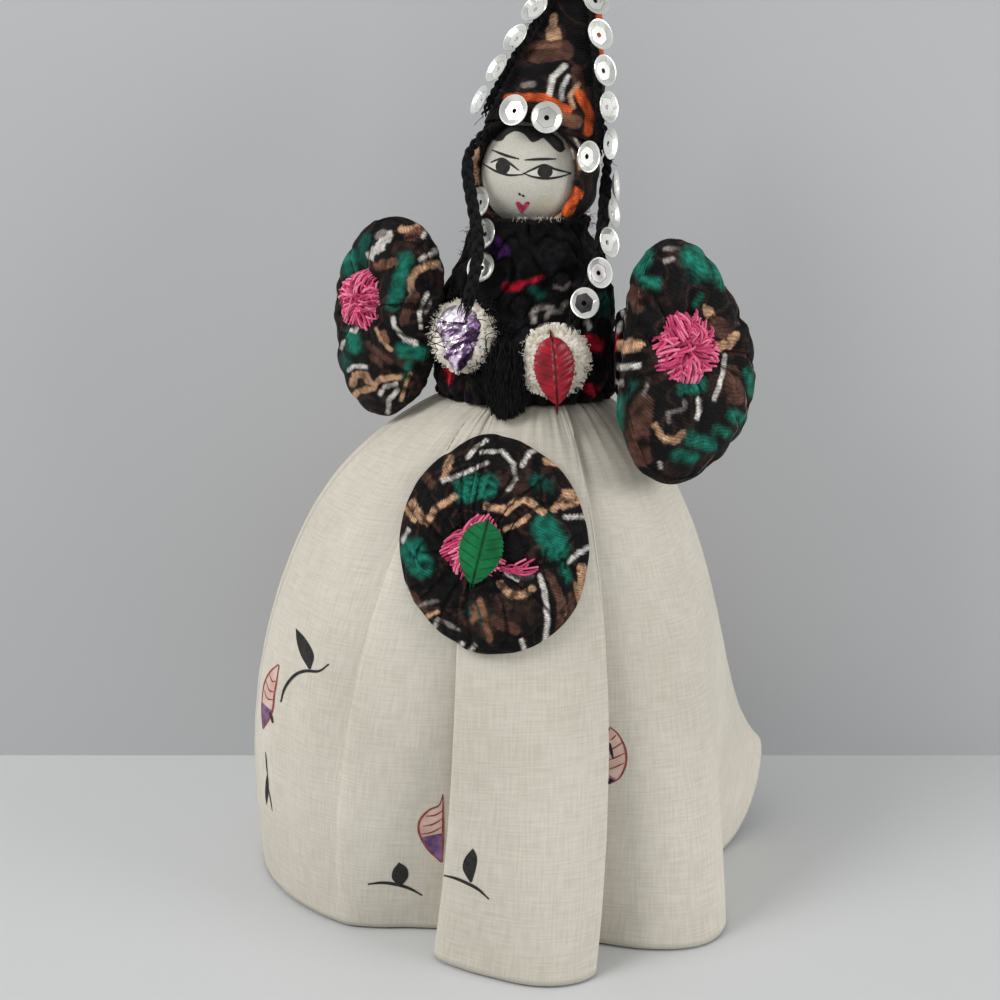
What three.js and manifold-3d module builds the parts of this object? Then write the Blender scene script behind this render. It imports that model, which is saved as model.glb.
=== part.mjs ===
// Folk cloth doll: a rag and calico figure on a wooden spine, with puffed sleeves and a sequined hat.
// Millimetres, +Z up. The doll stands on z = 0 with its spine on the Z axis and faces -Y.
import * as THREE from "three";
import { mergeVertices } from "three/addons/utils/BufferGeometryUtils.js";
import Module from "manifold-3d";

const wasm = await Module();
wasm.setup();

// Clearances
const SEAT_GAP = 0.3; // between two pieces that touch on the doll
const COWL_EASE = 1.2; // room for the head to rock inside the cowl

// Stand
const CARD_THICKNESS = 2;
const CARD_MARGIN = 1.5; // how far the card stays inside the foot of the rag core
const STICK_DIAMETER = 5;
const STICK_BURIED = 12; // length of the spine inside the chest wadding

// Skirt
const WAIST_HEIGHT = 108;
const WAIST_WIDTH = 30;
const WAIST_DEPTH = 22;
const HEM_WIDTH = 108;
const HEM_DEPTH = 90;
const HEM_SHIFT = -8; // the hem's middle lies to one side of the spine
const HEM_LIFT = 0.6;
const CALICO_THICKNESS = 0.9;
const BELL_POWER = 0.68; // below 1 the skirt swells out just under the waist
// The skirt's folds, crest and valley in turn: each one's bearing from the front towards +X, and how far out
// of the bell it lies at the hem.
const FOLDS = [
  [2, 3.5],
  [16, 8],
  [25.5, 4.8],
  [31, -7.5],
  [50, 9],
  [59, 7.5],
  [80, -7],
  [96, 3],
  [109, 20],
  [121, 3],
  [130, -5],
  [150, 3],
  [169, -5],
  [188, 1],
  [207, -6],
  [226, 2.5],
  [244, -4.5],
  [262, -1],
  [298, -5.5],
  [318, -6.8],
  [336, -12.5],
  [340, -12.5],
  [346, -2.5],
];
const FOLD_GROWTH = 1.8; // how the folds grow from waist to hem
const DEEPEST_DIP = -Math.min(...FOLDS.map((fold) => fold[1]));
// The hem's raised corner: its bearing, half its spread in degrees, and its lift.
const TAIL = { bearing: 109, spread: 14, lift: 14 };

// Binding threads
const THREAD_DIAMETER = 0.8;
const THREAD_SPACE = 0.55; // between two turns
const THREAD_TURNS = 3;

// Torso
const TORSO_HEIGHT = 35; // waist to the rim of the cowl
const SHOULDER_WIDTH = 35;
const SHOULDER_DEPTH = 27;
const BODICE_THICKNESS = 1;
const BODICE_EASE = 2; // slack between the waist thread and the bodice
const BODICE_OVERLAP = 0.5; // how far the bodice hangs below the waist

// Head and hat
const HEAD_SHIFT = 1.5; // the head's middle lies to one side of the spine
const HEAD_SEAT = 9; // the head's middle above the cowl's rim
const HEAD_WIDTH = 21.2;
const HEAD_HEIGHT = 23.2;
const HEAD_TILT = 8;
const HEAD_TURN = -6;
const FACE_TURN = -8; // the face opening on the head
const SCARF_THICKNESS = 2.4;
const FACE_WIDTH = 19.2;
const FACE_HEIGHT = 20.4;
const NECK_DIAMETER = 10;
const NECK_DROP = 18; // the neck's lower end below the head's middle
const HAT_WIDTH = 23.8;
const HAT_LENGTH = 48; // from the head's middle to the tip
const HAT_BRIM = 7.5; // from the head's middle to the brim
const HAT_TUCK = 4; // how far the hat's lining reaches below the brim
const HAT_LEAN = 5;
const HAT_TIP_BACK = 12;
const HAT_CLOTH = 0.9;

// Cords and sequins
const EDGING_DIAMETER = 2;
// Each edging: its foot above the head's middle, and its bearings at the foot and at the top.
const EDGING_LEFT = { foot: 6.8, low: -64, high: -31 };
const EDGING_RIGHT = { foot: 4.7, low: 70, high: 26 };
const EDGING_SEQUINS = 5;
const BROW_THREAD_DIAMETER = 0.8;
const TRESS_DIAMETER = 2.6;
const SEQUIN_DIAMETER = 6;
const SEQUIN_FILM = 0.3;
const SEQUIN_CUP = 0.6;
const SEQUIN_HOLE = 1;

// Sleeves
const ARM_DIAMETER = 7;
// Each puff: its sizes, its bearing and lean, and its outline's share of an oval at eight even turns from +X.
const PUFF_LEFT = {
  height: 41,
  width: 29,
  thickness: 10,
  turn: -38,
  lean: 4,
  outline: [0.74, 1, 1, 0.98, 1.02, 1.04, 1, 0.86],
};
const PUFF_RIGHT = {
  height: 47,
  width: 37,
  thickness: 10,
  turn: 38,
  lean: 13,
  outline: [0.86, 0.78, 0.94, 0.91, 0.88, 1.12, 0.98, 0.97],
};
const ARM_LEFT = { rise: 15, depth: 2, reach: 2.6 };
const ARM_RIGHT = { rise: 9, depth: -5, reach: 7.3 };

// Ornaments
const FLOWER_HEIGHT = 2.6;
const FLOWER_LOBES = 5;
const SLEEVE_FLOWER_LEFT = { diameter: 12, across: -5.5, up: 3.5 };
const SLEEVE_FLOWER_RIGHT = { diameter: 16, across: -5.5, up: 0 };
const APRON_WIDTH = 36;
const APRON_LENGTH = 43;
const APRON_THICKNESS = 3.6;
const APRON_DROP = 24; // the apron's middle below the waist
const APRON_BEARING = -3;
const APRON_FLOWER = 14;
const APRON_FLOWER_SHIFT = -2.5;
const LEAF_RED = { length: 14.4, width: 8.8 };
const LEAF_GREEN = { length: 12.2, width: 8.4, lean: -14 };
const LEAF_THICKNESS = 0.6;
const ROSETTE_DIAMETER = 13.4;
const ROSETTE_HEIGHT = 3.8;
const ROSETTE_LEFT = { x: -12, rise: 13 };
const ROSETTE_RIGHT = { x: 5.5, rise: 8.8 };
const FOIL_WIDTH = 9.4;
const FOIL_LENGTH = 12.4;
const TUFT_LENGTH = 18;
const TUFT_WIDTH = 6;
const TUFT_X = -4;
const TUFT_TOP = 17; // above the waist

// Finishes
const finish = (color, roughness, metalness) =>
  new THREE.MeshStandardMaterial({ color, roughness, metalness });
const cloth = (color, roughness = 0.92) => finish(color, roughness, 0);
const film = (color, metalness) => finish(color, 0.22, metalness);
const CALICO = cloth(0xe2d9c4);
const PATTERNED = cloth(0x3a2418);
const BLACK_FLORAL = cloth(0x17141a);
const MUSLIN = cloth(0xd9d2c4);
const WADDING = cloth(0xece8de);
const RAG = cloth(0xb9ab92);
const BLACK_YARN = cloth(0x0c0b0c);
const PINK_THREAD = cloth(0xe0488f, 0.75);
const CREAM_WOOL = cloth(0xe9dfca);
const BINDING = cloth(0xd8d2c2, 0.8);
const PINE = finish(0xc79a63, 0.7, 0);
const CARD = finish(0xa98b62, 0.9, 0);
const SILVER_FILM = film(0xd9d9d2, 0.85);
const RED_FILM = film(0xa80f1c, 0.4);
const PURPLE_FOIL = film(0xb089c9, 0.8);
const GREEN_FLOCK = cloth(0x0f7a3c, 0.85);

// Shape helpers
const radians = THREE.MathUtils.degToRad;
const FULL_TURN = 360;
const lerp = THREE.MathUtils.lerp;
const vec = (x, y, z) => new THREE.Vector3(x, y, z);

// A geometry with shared vertices, no empty triangles, and its faces pointing out.
function closed(geometry) {
  const bare = geometry.clone();
  for (const name of Object.keys(bare.attributes)) if (name !== "position") bare.deleteAttribute(name);
  const merged = mergeVertices(bare, 1e-4);
  const at = merged.attributes.position;
  const corner = (i) => new THREE.Vector3().fromBufferAttribute(at, i);
  const faces = [];
  let volume = 0;
  for (let i = 0; i < merged.index.count; i += 3) {
    const [a, b, c] = [0, 1, 2].map((k) => merged.index.getX(i + k));
    if (a === b || b === c || c === a) continue;
    faces.push([a, b, c]);
    volume += corner(a).dot(corner(b).cross(corner(c)));
  }
  merged.setIndex(faces.flatMap(([a, b, c]) => (volume > 0 ? [a, b, c] : [a, c, b])));
  return merged;
}

function solid(geometry) {
  const shape = closed(geometry);
  const vertProperties = new Float32Array(shape.attributes.position.array);
  const triVerts = new Uint32Array(shape.index.array);
  return new wasm.Manifold(new wasm.Mesh({ numProp: 3, vertProperties, triVerts }));
}

function fromSolid(body) {
  const { vertProperties, triVerts } = body.getMesh();
  const geometry = new THREE.BufferGeometry();
  geometry.setAttribute("position", new THREE.BufferAttribute(new Float32Array(vertProperties), 3));
  geometry.setIndex(Array.from(triVerts));
  return geometry;
}

const cut = (geometry, ...tools) =>
  fromSolid(tools.reduce((body, tool) => body.subtract(solid(tool)), solid(geometry)));

// A skin over rings of equal count. A hoop joins its last ring to its first, and any other loft is capped.
function loft(rings, hoop = false) {
  const count = rings[0].length;
  const points = rings.flat();
  const index = [];
  const spans = hoop ? rings.length : rings.length - 1;
  for (let i = 0; i < spans; i++) {
    const low = i * count;
    const high = ((i + 1) % rings.length) * count;
    for (let j = 0; j < count; j++) {
      const k = (j + 1) % count;
      index.push(low + j, low + k, high + k, low + j, high + k, high + j);
    }
  }
  const cap = (first, ring, flip) => {
    const middle = ring.reduce((sum, p) => sum.add(p), vec(0, 0, 0)).divideScalar(count);
    const hub = points.push(middle) - 1;
    for (let j = 0; j < count; j++) {
      const edge = [first + j, first + ((j + 1) % count)];
      index.push(hub, ...(flip ? edge.reverse() : edge));
    }
  };
  if (!hoop) {
    cap(0, rings[0], true);
    cap((rings.length - 1) * count, rings[rings.length - 1], false);
  }
  return closed(new THREE.BufferGeometry().setFromPoints(points).setIndex(index));
}

// A solid of revolution about Z from [radius, z] points that start and end on the axis.
function turned(profile, segments) {
  const points = profile.map(([r, z]) => new THREE.Vector2(r, z));
  return closed(new THREE.LatheGeometry(points, segments).rotateX(Math.PI / 2));
}

function rod(diameter, from, to, segments = 16) {
  const r = diameter / 2;
  return turned([[0, from], [r, from], [r, to], [0, to]], segments);
}

const BALL_ACROSS = 28;
const BALL_UP = 18;
function ball(radius, squash = vec(1, 1, 1), across = BALL_ACROSS, up = BALL_UP) {
  return closed(new THREE.SphereGeometry(radius, across, up).rotateX(Math.PI / 2).scale(...squash));
}

// A round tube along a curve.
function tube(curve, diameter, steps, sides = 8) {
  const circle = new THREE.EllipseCurve(0, 0, diameter / 2, diameter / 2);
  const section = new THREE.Shape(circle.getPoints(sides).slice(1));
  return closed(new THREE.ExtrudeGeometry(section, { steps, extrudePath: curve, bevelEnabled: false }));
}

// An elliptical ring at height z about (x, 0).
function ellipse(x, halfWidth, halfDepth, z, count) {
  return Array.from({ length: count }, (_, i) => {
    const turn = (2 * Math.PI * i) / count;
    return vec(x + halfWidth * Math.sin(turn), -halfDepth * Math.cos(turn), z);
  });
}

// A group whose +Z looks along normal and whose +Y leans towards up.
function seat(parent, point, normal, up = vec(0, 0, 1)) {
  const z = normal.clone().normalize();
  const x = up.clone().cross(z).normalize();
  const y = z.clone().cross(x);
  const group = new THREE.Group();
  group.position.copy(point);
  group.setRotationFromMatrix(new THREE.Matrix4().makeBasis(x, y, z));
  parent.add(group);
  return group;
}

function piece(parent, name, geometry, material) {
  const mesh = new THREE.Mesh(geometry, material.clone());
  mesh.name = name;
  parent.add(mesh);
  return mesh;
}

const doll = new THREE.Group();

// Skirt: a bell with an oval hem, drawn in at the waist and folded between its crests.
const threadPitch = THREAD_DIAMETER + THREAD_SPACE;
const windingHeight = THREAD_TURNS * threadPitch + THREAD_DIAMETER;
const waistTop = WAIST_HEIGHT + windingHeight + 3 * SEAT_GAP;
const share = (z) => (WAIST_HEIGHT - z) / (WAIST_HEIGHT - HEM_LIFT);

// How far out of the bell the hem lies at a bearing.
function foldAt(bearing) {
  const around = ((bearing % FULL_TURN) + FULL_TURN) % FULL_TURN;
  const next = FOLDS.findIndex((fold) => fold[0] > around);
  const to = next === -1 ? 0 : next;
  const from = (to + FOLDS.length - 1) % FOLDS.length;
  const start = FOLDS[from][0];
  const span = (FOLDS[to][0] - start + FULL_TURN) % FULL_TURN;
  const along = ((around - start + FULL_TURN) % FULL_TURN) / span;
  return lerp(FOLDS[from][1], FOLDS[to][1], (1 - Math.cos(Math.PI * along)) / 2);
}

// A point of the skirt's outer face, moved out by proud. A smooth one stays under all the folds.
function skirtPoint(bearing, z, proud, smooth = false) {
  const t = Math.max(0, share(z));
  const swell = Math.sin((Math.PI / 2) * t ** BELL_POWER);
  const a = lerp(WAIST_WIDTH, HEM_WIDTH, swell) / 2;
  const b = lerp(WAIST_DEPTH, HEM_DEPTH, swell) / 2;
  const turn = radians(bearing);
  const bell = 1 / Math.hypot(Math.sin(turn) / a, Math.cos(turn) / b);
  const fold = smooth ? -DEEPEST_DIP : foldAt(bearing);
  const r = bell + fold * t ** FOLD_GROWTH + proud;
  return vec(HEM_SHIFT * swell + r * Math.sin(turn), -r * Math.cos(turn), z);
}

const SKIRT_COUNT = 90;
const SKIRT_HEIGHTS = [0, 0.14, 0.3, 0.48, 0.66, 0.82, 0.93, 1];
const skirtRing = (height, proud, smooth, count = SKIRT_COUNT) =>
  Array.from({ length: count }, (_, i) => {
    const bearing = (FULL_TURN * i) / count;
    return skirtPoint(bearing, height(bearing), proud, smooth);
  });
function hemAt(bearing) {
  const off = Math.min(1, Math.abs(bearing - TAIL.bearing) / TAIL.spread);
  return HEM_LIFT + TAIL.lift * (1 - off) ** 2;
}
const skirtLevels = SKIRT_HEIGHTS.map((s) => (bearing) => lerp(hemAt(bearing), WAIST_HEIGHT, s));
skirtLevels.push(() => waistTop);

function skirtShell() {
  const outside = skirtLevels.map((height) => skirtRing(height, 0));
  const inside = skirtLevels.map((height) => skirtRing(height, -CALICO_THICKNESS)).reverse();
  return loft([...outside, ...inside], true);
}

// The skirt's outer form filled in and grown, for what lies on it.
const skirtFilled = (grown) => loft(skirtLevels.map((height) => skirtRing(height, grown)));

piece(doll, "skirt", skirtShell(), CALICO);

// Stand: a rag core that fills the skirt, the card under it, and the spine that runs up its middle.
const CORE_COUNT = 36;
const coreInset = CALICO_THICKNESS + SEAT_GAP;
const coreFoot = CARD_THICKNESS + SEAT_GAP;
const spineTop = waistTop + STICK_BURIED;
const spineRoom = () => rod(STICK_DIAMETER + 2 * SEAT_GAP, 0, spineTop + SEAT_GAP);
const coreLevels = [...SKIRT_HEIGHTS.map((s) => lerp(coreFoot, WAIST_HEIGHT, s)), waistTop];
const ragCore = loft(coreLevels.map((z) => skirtRing(() => z, -coreInset, true, CORE_COUNT)));
piece(doll, "rag_core", cut(ragCore, spineRoom()), RAG);

const cardRing = (z) => {
  const edge = skirtRing(() => coreFoot, -coreInset - CARD_MARGIN, true, CORE_COUNT);
  return edge.map((p) => p.setZ(z));
};
piece(doll, "base_card", loft([cardRing(0), cardRing(CARD_THICKNESS)]), CARD);
piece(doll, "spine_stick", rod(STICK_DIAMETER, CARD_THICKNESS + SEAT_GAP, spineTop), PINE);

// A thread wound round an oval or round stem, as one unbroken helix.
function winding(x, halfWidth, halfDepth, from) {
  const stepsPerTurn = 20;
  const count = THREAD_TURNS * stepsPerTurn;
  const grow = SEAT_GAP + THREAD_DIAMETER / 2;
  const points = Array.from({ length: count + 1 }, (_, i) => {
    const turn = (2 * Math.PI * i) / stepsPerTurn;
    const z = from + THREAD_DIAMETER / 2 + (threadPitch * i) / stepsPerTurn;
    return vec(x + (halfWidth + grow) * Math.sin(turn), -(halfDepth + grow) * Math.cos(turn), z);
  });
  const curve = new THREE.CatmullRomCurve3(points);
  let least = Infinity;
  points.forEach((p, i) => {
    const others = points.slice(i + stepsPerTurn / 2);
    least = Math.min(least, ...others.map((q) => p.distanceTo(q)));
  });
  const clear = least - THREAD_DIAMETER;
  console.log(`winding at z ${from.toFixed(1)}: least gap to itself ${clear.toFixed(2)} mm`);
  return tube(curve, THREAD_DIAMETER, count, 5);
}
const waistThreadFoot = WAIST_HEIGHT + SEAT_GAP;
piece(doll, "waist_thread", winding(0, WAIST_WIDTH / 2, WAIST_DEPTH / 2, waistThreadFoot), BINDING);

// Torso: a bodice shell that narrows from the waist to the cowl, and the wadding inside it.
const scarfRadius = HEAD_WIDTH / 2 + SCARF_THICKNESS;
const cowlTop = WAIST_HEIGHT + TORSO_HEIGHT;
const headMiddle = vec(HEAD_SHIFT, 0, cowlTop + HEAD_SEAT);
const cowlRadius = Math.sqrt((scarfRadius + COWL_EASE) ** 2 - HEAD_SEAT ** 2) + BODICE_THICKNESS;
const bodiceFoot = WAIST_HEIGHT - BODICE_OVERLAP;
const bodiceRoom = SEAT_GAP + THREAD_DIAMETER + BODICE_EASE + BODICE_THICKNESS;
const BODICE_STATIONS = [
  { at: 0, halfWidth: WAIST_WIDTH / 2 + bodiceRoom, halfDepth: WAIST_DEPTH / 2 + bodiceRoom },
  { at: 0.3, halfWidth: WAIST_WIDTH / 2 + bodiceRoom, halfDepth: WAIST_DEPTH / 2 + bodiceRoom },
  { at: 0.62, halfWidth: SHOULDER_WIDTH / 2, halfDepth: SHOULDER_DEPTH / 2 },
  { at: 0.86, halfWidth: cowlRadius + 1.2, halfDepth: cowlRadius + 0.6 },
  { at: 1, halfWidth: cowlRadius, halfDepth: cowlRadius },
];
const stationCurve = (key) =>
  new THREE.SplineCurve(BODICE_STATIONS.map((s) => new THREE.Vector2(s.at, s[key])));
const widthCurve = stationCurve("halfWidth");
const depthCurve = stationCurve("halfDepth");

// The bodice's oval at height z: its middle, half width and half depth.
function bodiceOval(z) {
  const at = THREE.MathUtils.clamp((z - bodiceFoot) / (cowlTop - bodiceFoot), 0, 1);
  const last = BODICE_STATIONS.length - 1;
  const next = Math.max(1, BODICE_STATIONS.findIndex((s) => s.at >= at));
  const low = BODICE_STATIONS[next - 1].at;
  const along = (next - 1 + (at - low) / (BODICE_STATIONS[next].at - low)) / last;
  const halfWidth = widthCurve.getPoint(along).y;
  const halfDepth = depthCurve.getPoint(along).y;
  return { x: HEAD_SHIFT * at, halfWidth, halfDepth };
}
function bodiceRing(z, proud, count = 32) {
  const oval = bodiceOval(z);
  return ellipse(oval.x, oval.halfWidth + proud, oval.halfDepth + proud, z, count);
}
const bodiceLevels = [0, 0.15, 0.3, 0.46, 0.62, 0.74, 0.86, 1].map((s) => lerp(bodiceFoot, cowlTop, s));
const bodiceOutside = bodiceLevels.map((z) => bodiceRing(z, 0));
const bodiceInside = bodiceLevels.map((z) => bodiceRing(z, -BODICE_THICKNESS)).reverse();
piece(doll, "bodice", loft([...bodiceOutside, ...bodiceInside], true), BLACK_FLORAL);

const waddingFoot = waistTop + SEAT_GAP;
const waddingTop = headMiddle.z - NECK_DROP + 2;
const waddingInset = BODICE_THICKNESS + SEAT_GAP;
const waddingLevels = [0, 0.35, 0.7, 1].map((s) => lerp(waddingFoot, waddingTop, s));
const neckHollow = ball(NECK_DROP + SEAT_GAP, vec(1, 1, 1), 24, 16).translate(...headMiddle);
const waddingRings = waddingLevels.map((z) => bodiceRing(z, -waddingInset, 28));
piece(doll, "torso_wadding", cut(loft(waddingRings), spineRoom(), neckHollow), WADDING);

// The bodice's front face at x and height z, and its outward normal there.
function bodiceFront(x, z) {
  const oval = bodiceOval(z);
  const off = (x - oval.x) / oval.halfWidth;
  return vec(x, -oval.halfDepth * Math.sqrt(1 - off * off), z);
}
function bodiceNormal(x, z) {
  const across = bodiceFront(x + 0.5, z).sub(bodiceFront(x - 0.5, z));
  const up = bodiceFront(x, z + 2).sub(bodiceFront(x, z - 2));
  return across.cross(up).normalize();
}

// Ornament shapes, each lying on its own z = 0 and facing +Z.
function flowerShape(diameter) {
  const count = FLOWER_LOBES * 6;
  const ring = (scale, z) =>
    Array.from({ length: count }, (_, i) => {
      const turn = (2 * Math.PI * i) / count;
      const r = (diameter / 2) * scale * (0.87 + 0.13 * Math.cos(FLOWER_LOBES * turn));
      return vec(r * Math.cos(turn), r * Math.sin(turn), z);
    });
  const h = FLOWER_HEIGHT;
  return loft([ring(0.9, 0), ring(1, 0.4 * h), ring(0.72, h), ring(0.2, 0.8 * h)]);
}

// A pointed leaf with saw teeth along both edges, its tip towards -Y.
function leafShape({ length, width }) {
  const teeth = 8;
  const side = Array.from({ length: 2 * teeth + 1 }, (_, i) => {
    const along = i / (2 * teeth);
    const tooth = i % 2 ? 0 : 0.35;
    const half = (width / 2) * Math.sin(Math.PI * along ** 0.72) ** 0.8;
    return new THREE.Vector2(Math.max(half - tooth, 0), length * (0.5 - along));
  });
  const mirrored = side.slice(1, -1).reverse().map((p) => new THREE.Vector2(-p.x, p.y));
  const outline = new THREE.Shape([...side, ...mirrored]);
  return closed(new THREE.ExtrudeGeometry(outline, { depth: LEAF_THICKNESS, bevelEnabled: false }));
}

function rosetteShape() {
  const r = ROSETTE_DIAMETER / 2;
  const h = ROSETTE_HEIGHT;
  return turned([[0, 0], [0.8 * r, 0], [r, 0.35 * h], [0.86 * r, 0.8 * h], [0.5 * r, h], [0, h]], 22);
}

// A crumpled scrap: a flattened ball whose corners are pushed in and out by a fixed rule.
function foilShape() {
  const crumpled = closed(new THREE.IcosahedronGeometry(FOIL_WIDTH / 2, 2));
  const stretch = FOIL_LENGTH / FOIL_WIDTH;
  const at = crumpled.attributes.position;
  for (let i = 0; i < at.count; i++) {
    const dent = 1 - 0.16 * Math.abs(Math.sin(2.3 * at.getX(i) + 3.1 * at.getY(i) + 1.7 * at.getZ(i)));
    at.setXYZ(i, at.getX(i) * dent, at.getY(i) * dent * stretch, at.getZ(i) * dent * 0.3);
  }
  crumpled.computeBoundingBox();
  return crumpled.translate(0, 0, -crumpled.boundingBox.min.z);
}

// Chest ornaments
function rosetteAt(name, place) {
  const z = WAIST_HEIGHT + place.rise;
  const normal = bodiceNormal(place.x, z);
  const group = seat(doll, bodiceFront(place.x, z).addScaledVector(normal, SEAT_GAP), normal);
  piece(group, name, rosetteShape(), CREAM_WOOL);
  const top = new THREE.Group();
  top.position.z = ROSETTE_HEIGHT + SEAT_GAP;
  group.add(top);
  return top;
}
const leftRosetteTop = rosetteAt("rosette_left", ROSETTE_LEFT);
piece(leftRosetteTop, "foil_scrap", foilShape(), PURPLE_FOIL);
const rightRosetteTop = rosetteAt("rosette_right", ROSETTE_RIGHT);
piece(rightRosetteTop, "leaf_red", leafShape(LEAF_RED), RED_FILM).position.y = -LEAF_RED.length * 0.16;

const tuftMiddle = WAIST_HEIGHT + TUFT_TOP - TUFT_LENGTH / 2;
const tuftSeat = Math.min(bodiceFront(TUFT_X, bodiceFoot).y, bodiceFront(TUFT_X, tuftMiddle).y);
const tuftRadius = TUFT_WIDTH / 2;
const tuftProfile = [[0, 0], [0.75, 0.06], [1, 0.22], [0.9, 0.5], [0.55, 0.8], [0, 1]];
const tuft = turned(tuftProfile.map(([r, s]) => [r * tuftRadius, s * TUFT_LENGTH]), 16);
const tuftGroup = new THREE.Group();
tuftGroup.position.set(TUFT_X, tuftSeat - SEAT_GAP - tuftRadius, WAIST_HEIGHT + TUFT_TOP - TUFT_LENGTH);
doll.add(tuftGroup);
piece(tuftGroup, "chest_tuft", tuft, BLACK_YARN);

// Apron: a gathered round of cloth that lies over the skirt's folds, with its flower and leaf.
const apronHeight = WAIST_HEIGHT - APRON_DROP;
function apronShape() {
  const spokes = 32;
  const bands = [0.25, 0.55, 0.82, 1];
  const middle = skirtPoint(APRON_BEARING, apronHeight, 0);
  const arm = Math.hypot(middle.x, middle.y);
  const above = skirtPoint(APRON_BEARING, apronHeight + 1, 0);
  const steep = 1 / Math.hypot(1, Math.hypot(above.x, above.y) - arm);
  const ring = (scale, proud) =>
    Array.from({ length: spokes }, (_, i) => {
      const turn = (2 * Math.PI * i) / spokes;
      const across = (APRON_WIDTH / 2) * scale * Math.cos(turn);
      const up = (APRON_LENGTH / 2) * scale * Math.sin(turn);
      const bearing = APRON_BEARING + THREE.MathUtils.radToDeg(across / arm);
      return skirtPoint(bearing, apronHeight + up * steep, proud);
    });
  const top = bands.map((s) => ring(s, SEAT_GAP + APRON_THICKNESS * (1 - 0.75 * s ** 4)));
  const back = bands.map((s) => ring(s, -APRON_THICKNESS)).reverse();
  return cut(loft([...top, ...back]), skirtFilled(SEAT_GAP));
}
piece(doll, "apron_puff", apronShape(), PATTERNED);

const nearApron = (turn, rise, proud = 0) => skirtPoint(APRON_BEARING + turn, apronHeight + rise, proud);
const apronCrown = nearApron(0, 0, SEAT_GAP + APRON_THICKNESS);
const apronAcross = nearApron(3, 0).sub(nearApron(-3, 0));
const apronDown = nearApron(0, -4).sub(nearApron(0, 4));
const apronNormal = apronDown.cross(apronAcross).normalize();
const apronTop = seat(doll, apronCrown.addScaledVector(apronNormal, SEAT_GAP), apronNormal);
piece(apronTop, "apron_flower", flowerShape(APRON_FLOWER), PINK_THREAD).position.x = APRON_FLOWER_SHIFT;
const apronLeaf = piece(apronTop, "apron_leaf", leafShape(LEAF_GREEN), GREEN_FLOCK);
apronLeaf.rotation.z = radians(LEAF_GREEN.lean);
apronLeaf.position.set(APRON_FLOWER_SHIFT, 0, FLOWER_HEIGHT + SEAT_GAP);

// Sleeves: a short stuffed arm with a ball end at the shoulder, and a puffed round sewn to its far end.
const PUFF_SPOKES = 32;
const PUFF_BACK = [[0.5, -0.5], [0.84, -0.36], [0.97, -0.12], [1, 0.03]];
const PUFF_FRONT = [[0.96, 0.2], [0.8, 0.42], [0.5, 0.5]];
function puffShape({ height, width, thickness, outline }, proud = 0) {
  const reachAt = (turn) => {
    const spot = (turn / (2 * Math.PI)) * outline.length;
    const from = Math.floor(spot);
    const ease = (1 - Math.cos(Math.PI * (spot - from))) / 2;
    return lerp(outline[from % outline.length], outline[(from + 1) % outline.length], ease);
  };
  const ring = ([out, high]) =>
    Array.from({ length: PUFF_SPOKES }, (_, i) => {
      const turn = (2 * Math.PI * i) / PUFF_SPOKES;
      const reach = out * lerp(1, reachAt(turn), out);
      const x = ((width / 2) * reach + proud) * Math.cos(turn);
      const y = ((height / 2) * reach + proud) * Math.sin(turn);
      return vec(x, y, high * (thickness + 2 * proud));
    });
  return loft([...PUFF_BACK, ...PUFF_FRONT].map(ring));
}

function sleeve(side, sign, arm, puff, flower) {
  const z = WAIST_HEIGHT + arm.rise;
  const oval = bodiceOval(z);
  const edge = oval.halfWidth * Math.sqrt(1 - (arm.depth / oval.halfDepth) ** 2);
  const outward = vec((sign * edge) / oval.halfWidth ** 2, arm.depth / oval.halfDepth ** 2, 0).normalize();
  const surface = vec(oval.x + sign * edge, arm.depth, z);
  const shoulder = surface.addScaledVector(outward, ARM_DIAMETER / 2 + SEAT_GAP);
  const facing = vec(0, -1, 0)
    .applyAxisAngle(vec(1, 0, 0), -radians(puff.lean))
    .applyAxisAngle(vec(0, 0, 1), radians(puff.turn));
  const middle = shoulder.clone().add(vec(sign * arm.reach, 0, 0));
  const puffGroup = seat(doll, middle.addScaledVector(facing, puff.thickness / 2), facing);
  piece(puffGroup, `sleeve_puff_${side}`, puffShape(puff), PATTERNED);
  const flowerPiece = piece(puffGroup, `sleeve_flower_${side}`, flowerShape(flower.diameter), PINK_THREAD);
  flowerPiece.position.set(flower.across, flower.up, puff.thickness / 2 + SEAT_GAP);

  const along = vec(sign, 0, 0);
  const armGroup = seat(doll, shoulder, along);
  const r = ARM_DIAMETER / 2;
  const reach = arm.reach + puff.thickness;
  const ballEnd = [[0, -r], [0.7 * r, -0.72 * r], [r, 0]];
  const limb = turned([...ballEnd, [1.1 * r, 0.5 * reach], [r, reach], [0, reach]], 16);
  armGroup.updateMatrixWorld(true);
  puffGroup.updateMatrixWorld(true);
  const toArm = armGroup.matrixWorld.clone().invert().multiply(puffGroup.matrixWorld);
  const room = puffShape(puff, SEAT_GAP).applyMatrix4(toArm);
  const past = ball(4 * puff.thickness, vec(1, 1, 1), 24, 16);
  const beyond = past.translate(0, 0, 4 * puff.thickness).applyMatrix4(toArm);
  piece(armGroup, `arm_${side}`, cut(limb, room, beyond), BLACK_FLORAL);
  return shoulder;
}
const shoulderLeft = sleeve("left", -1, ARM_LEFT, PUFF_LEFT, SLEEVE_FLOWER_LEFT);
const shoulderRight = sleeve("right", 1, ARM_RIGHT, PUFF_RIGHT, SLEEVE_FLOWER_RIGHT);

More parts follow.
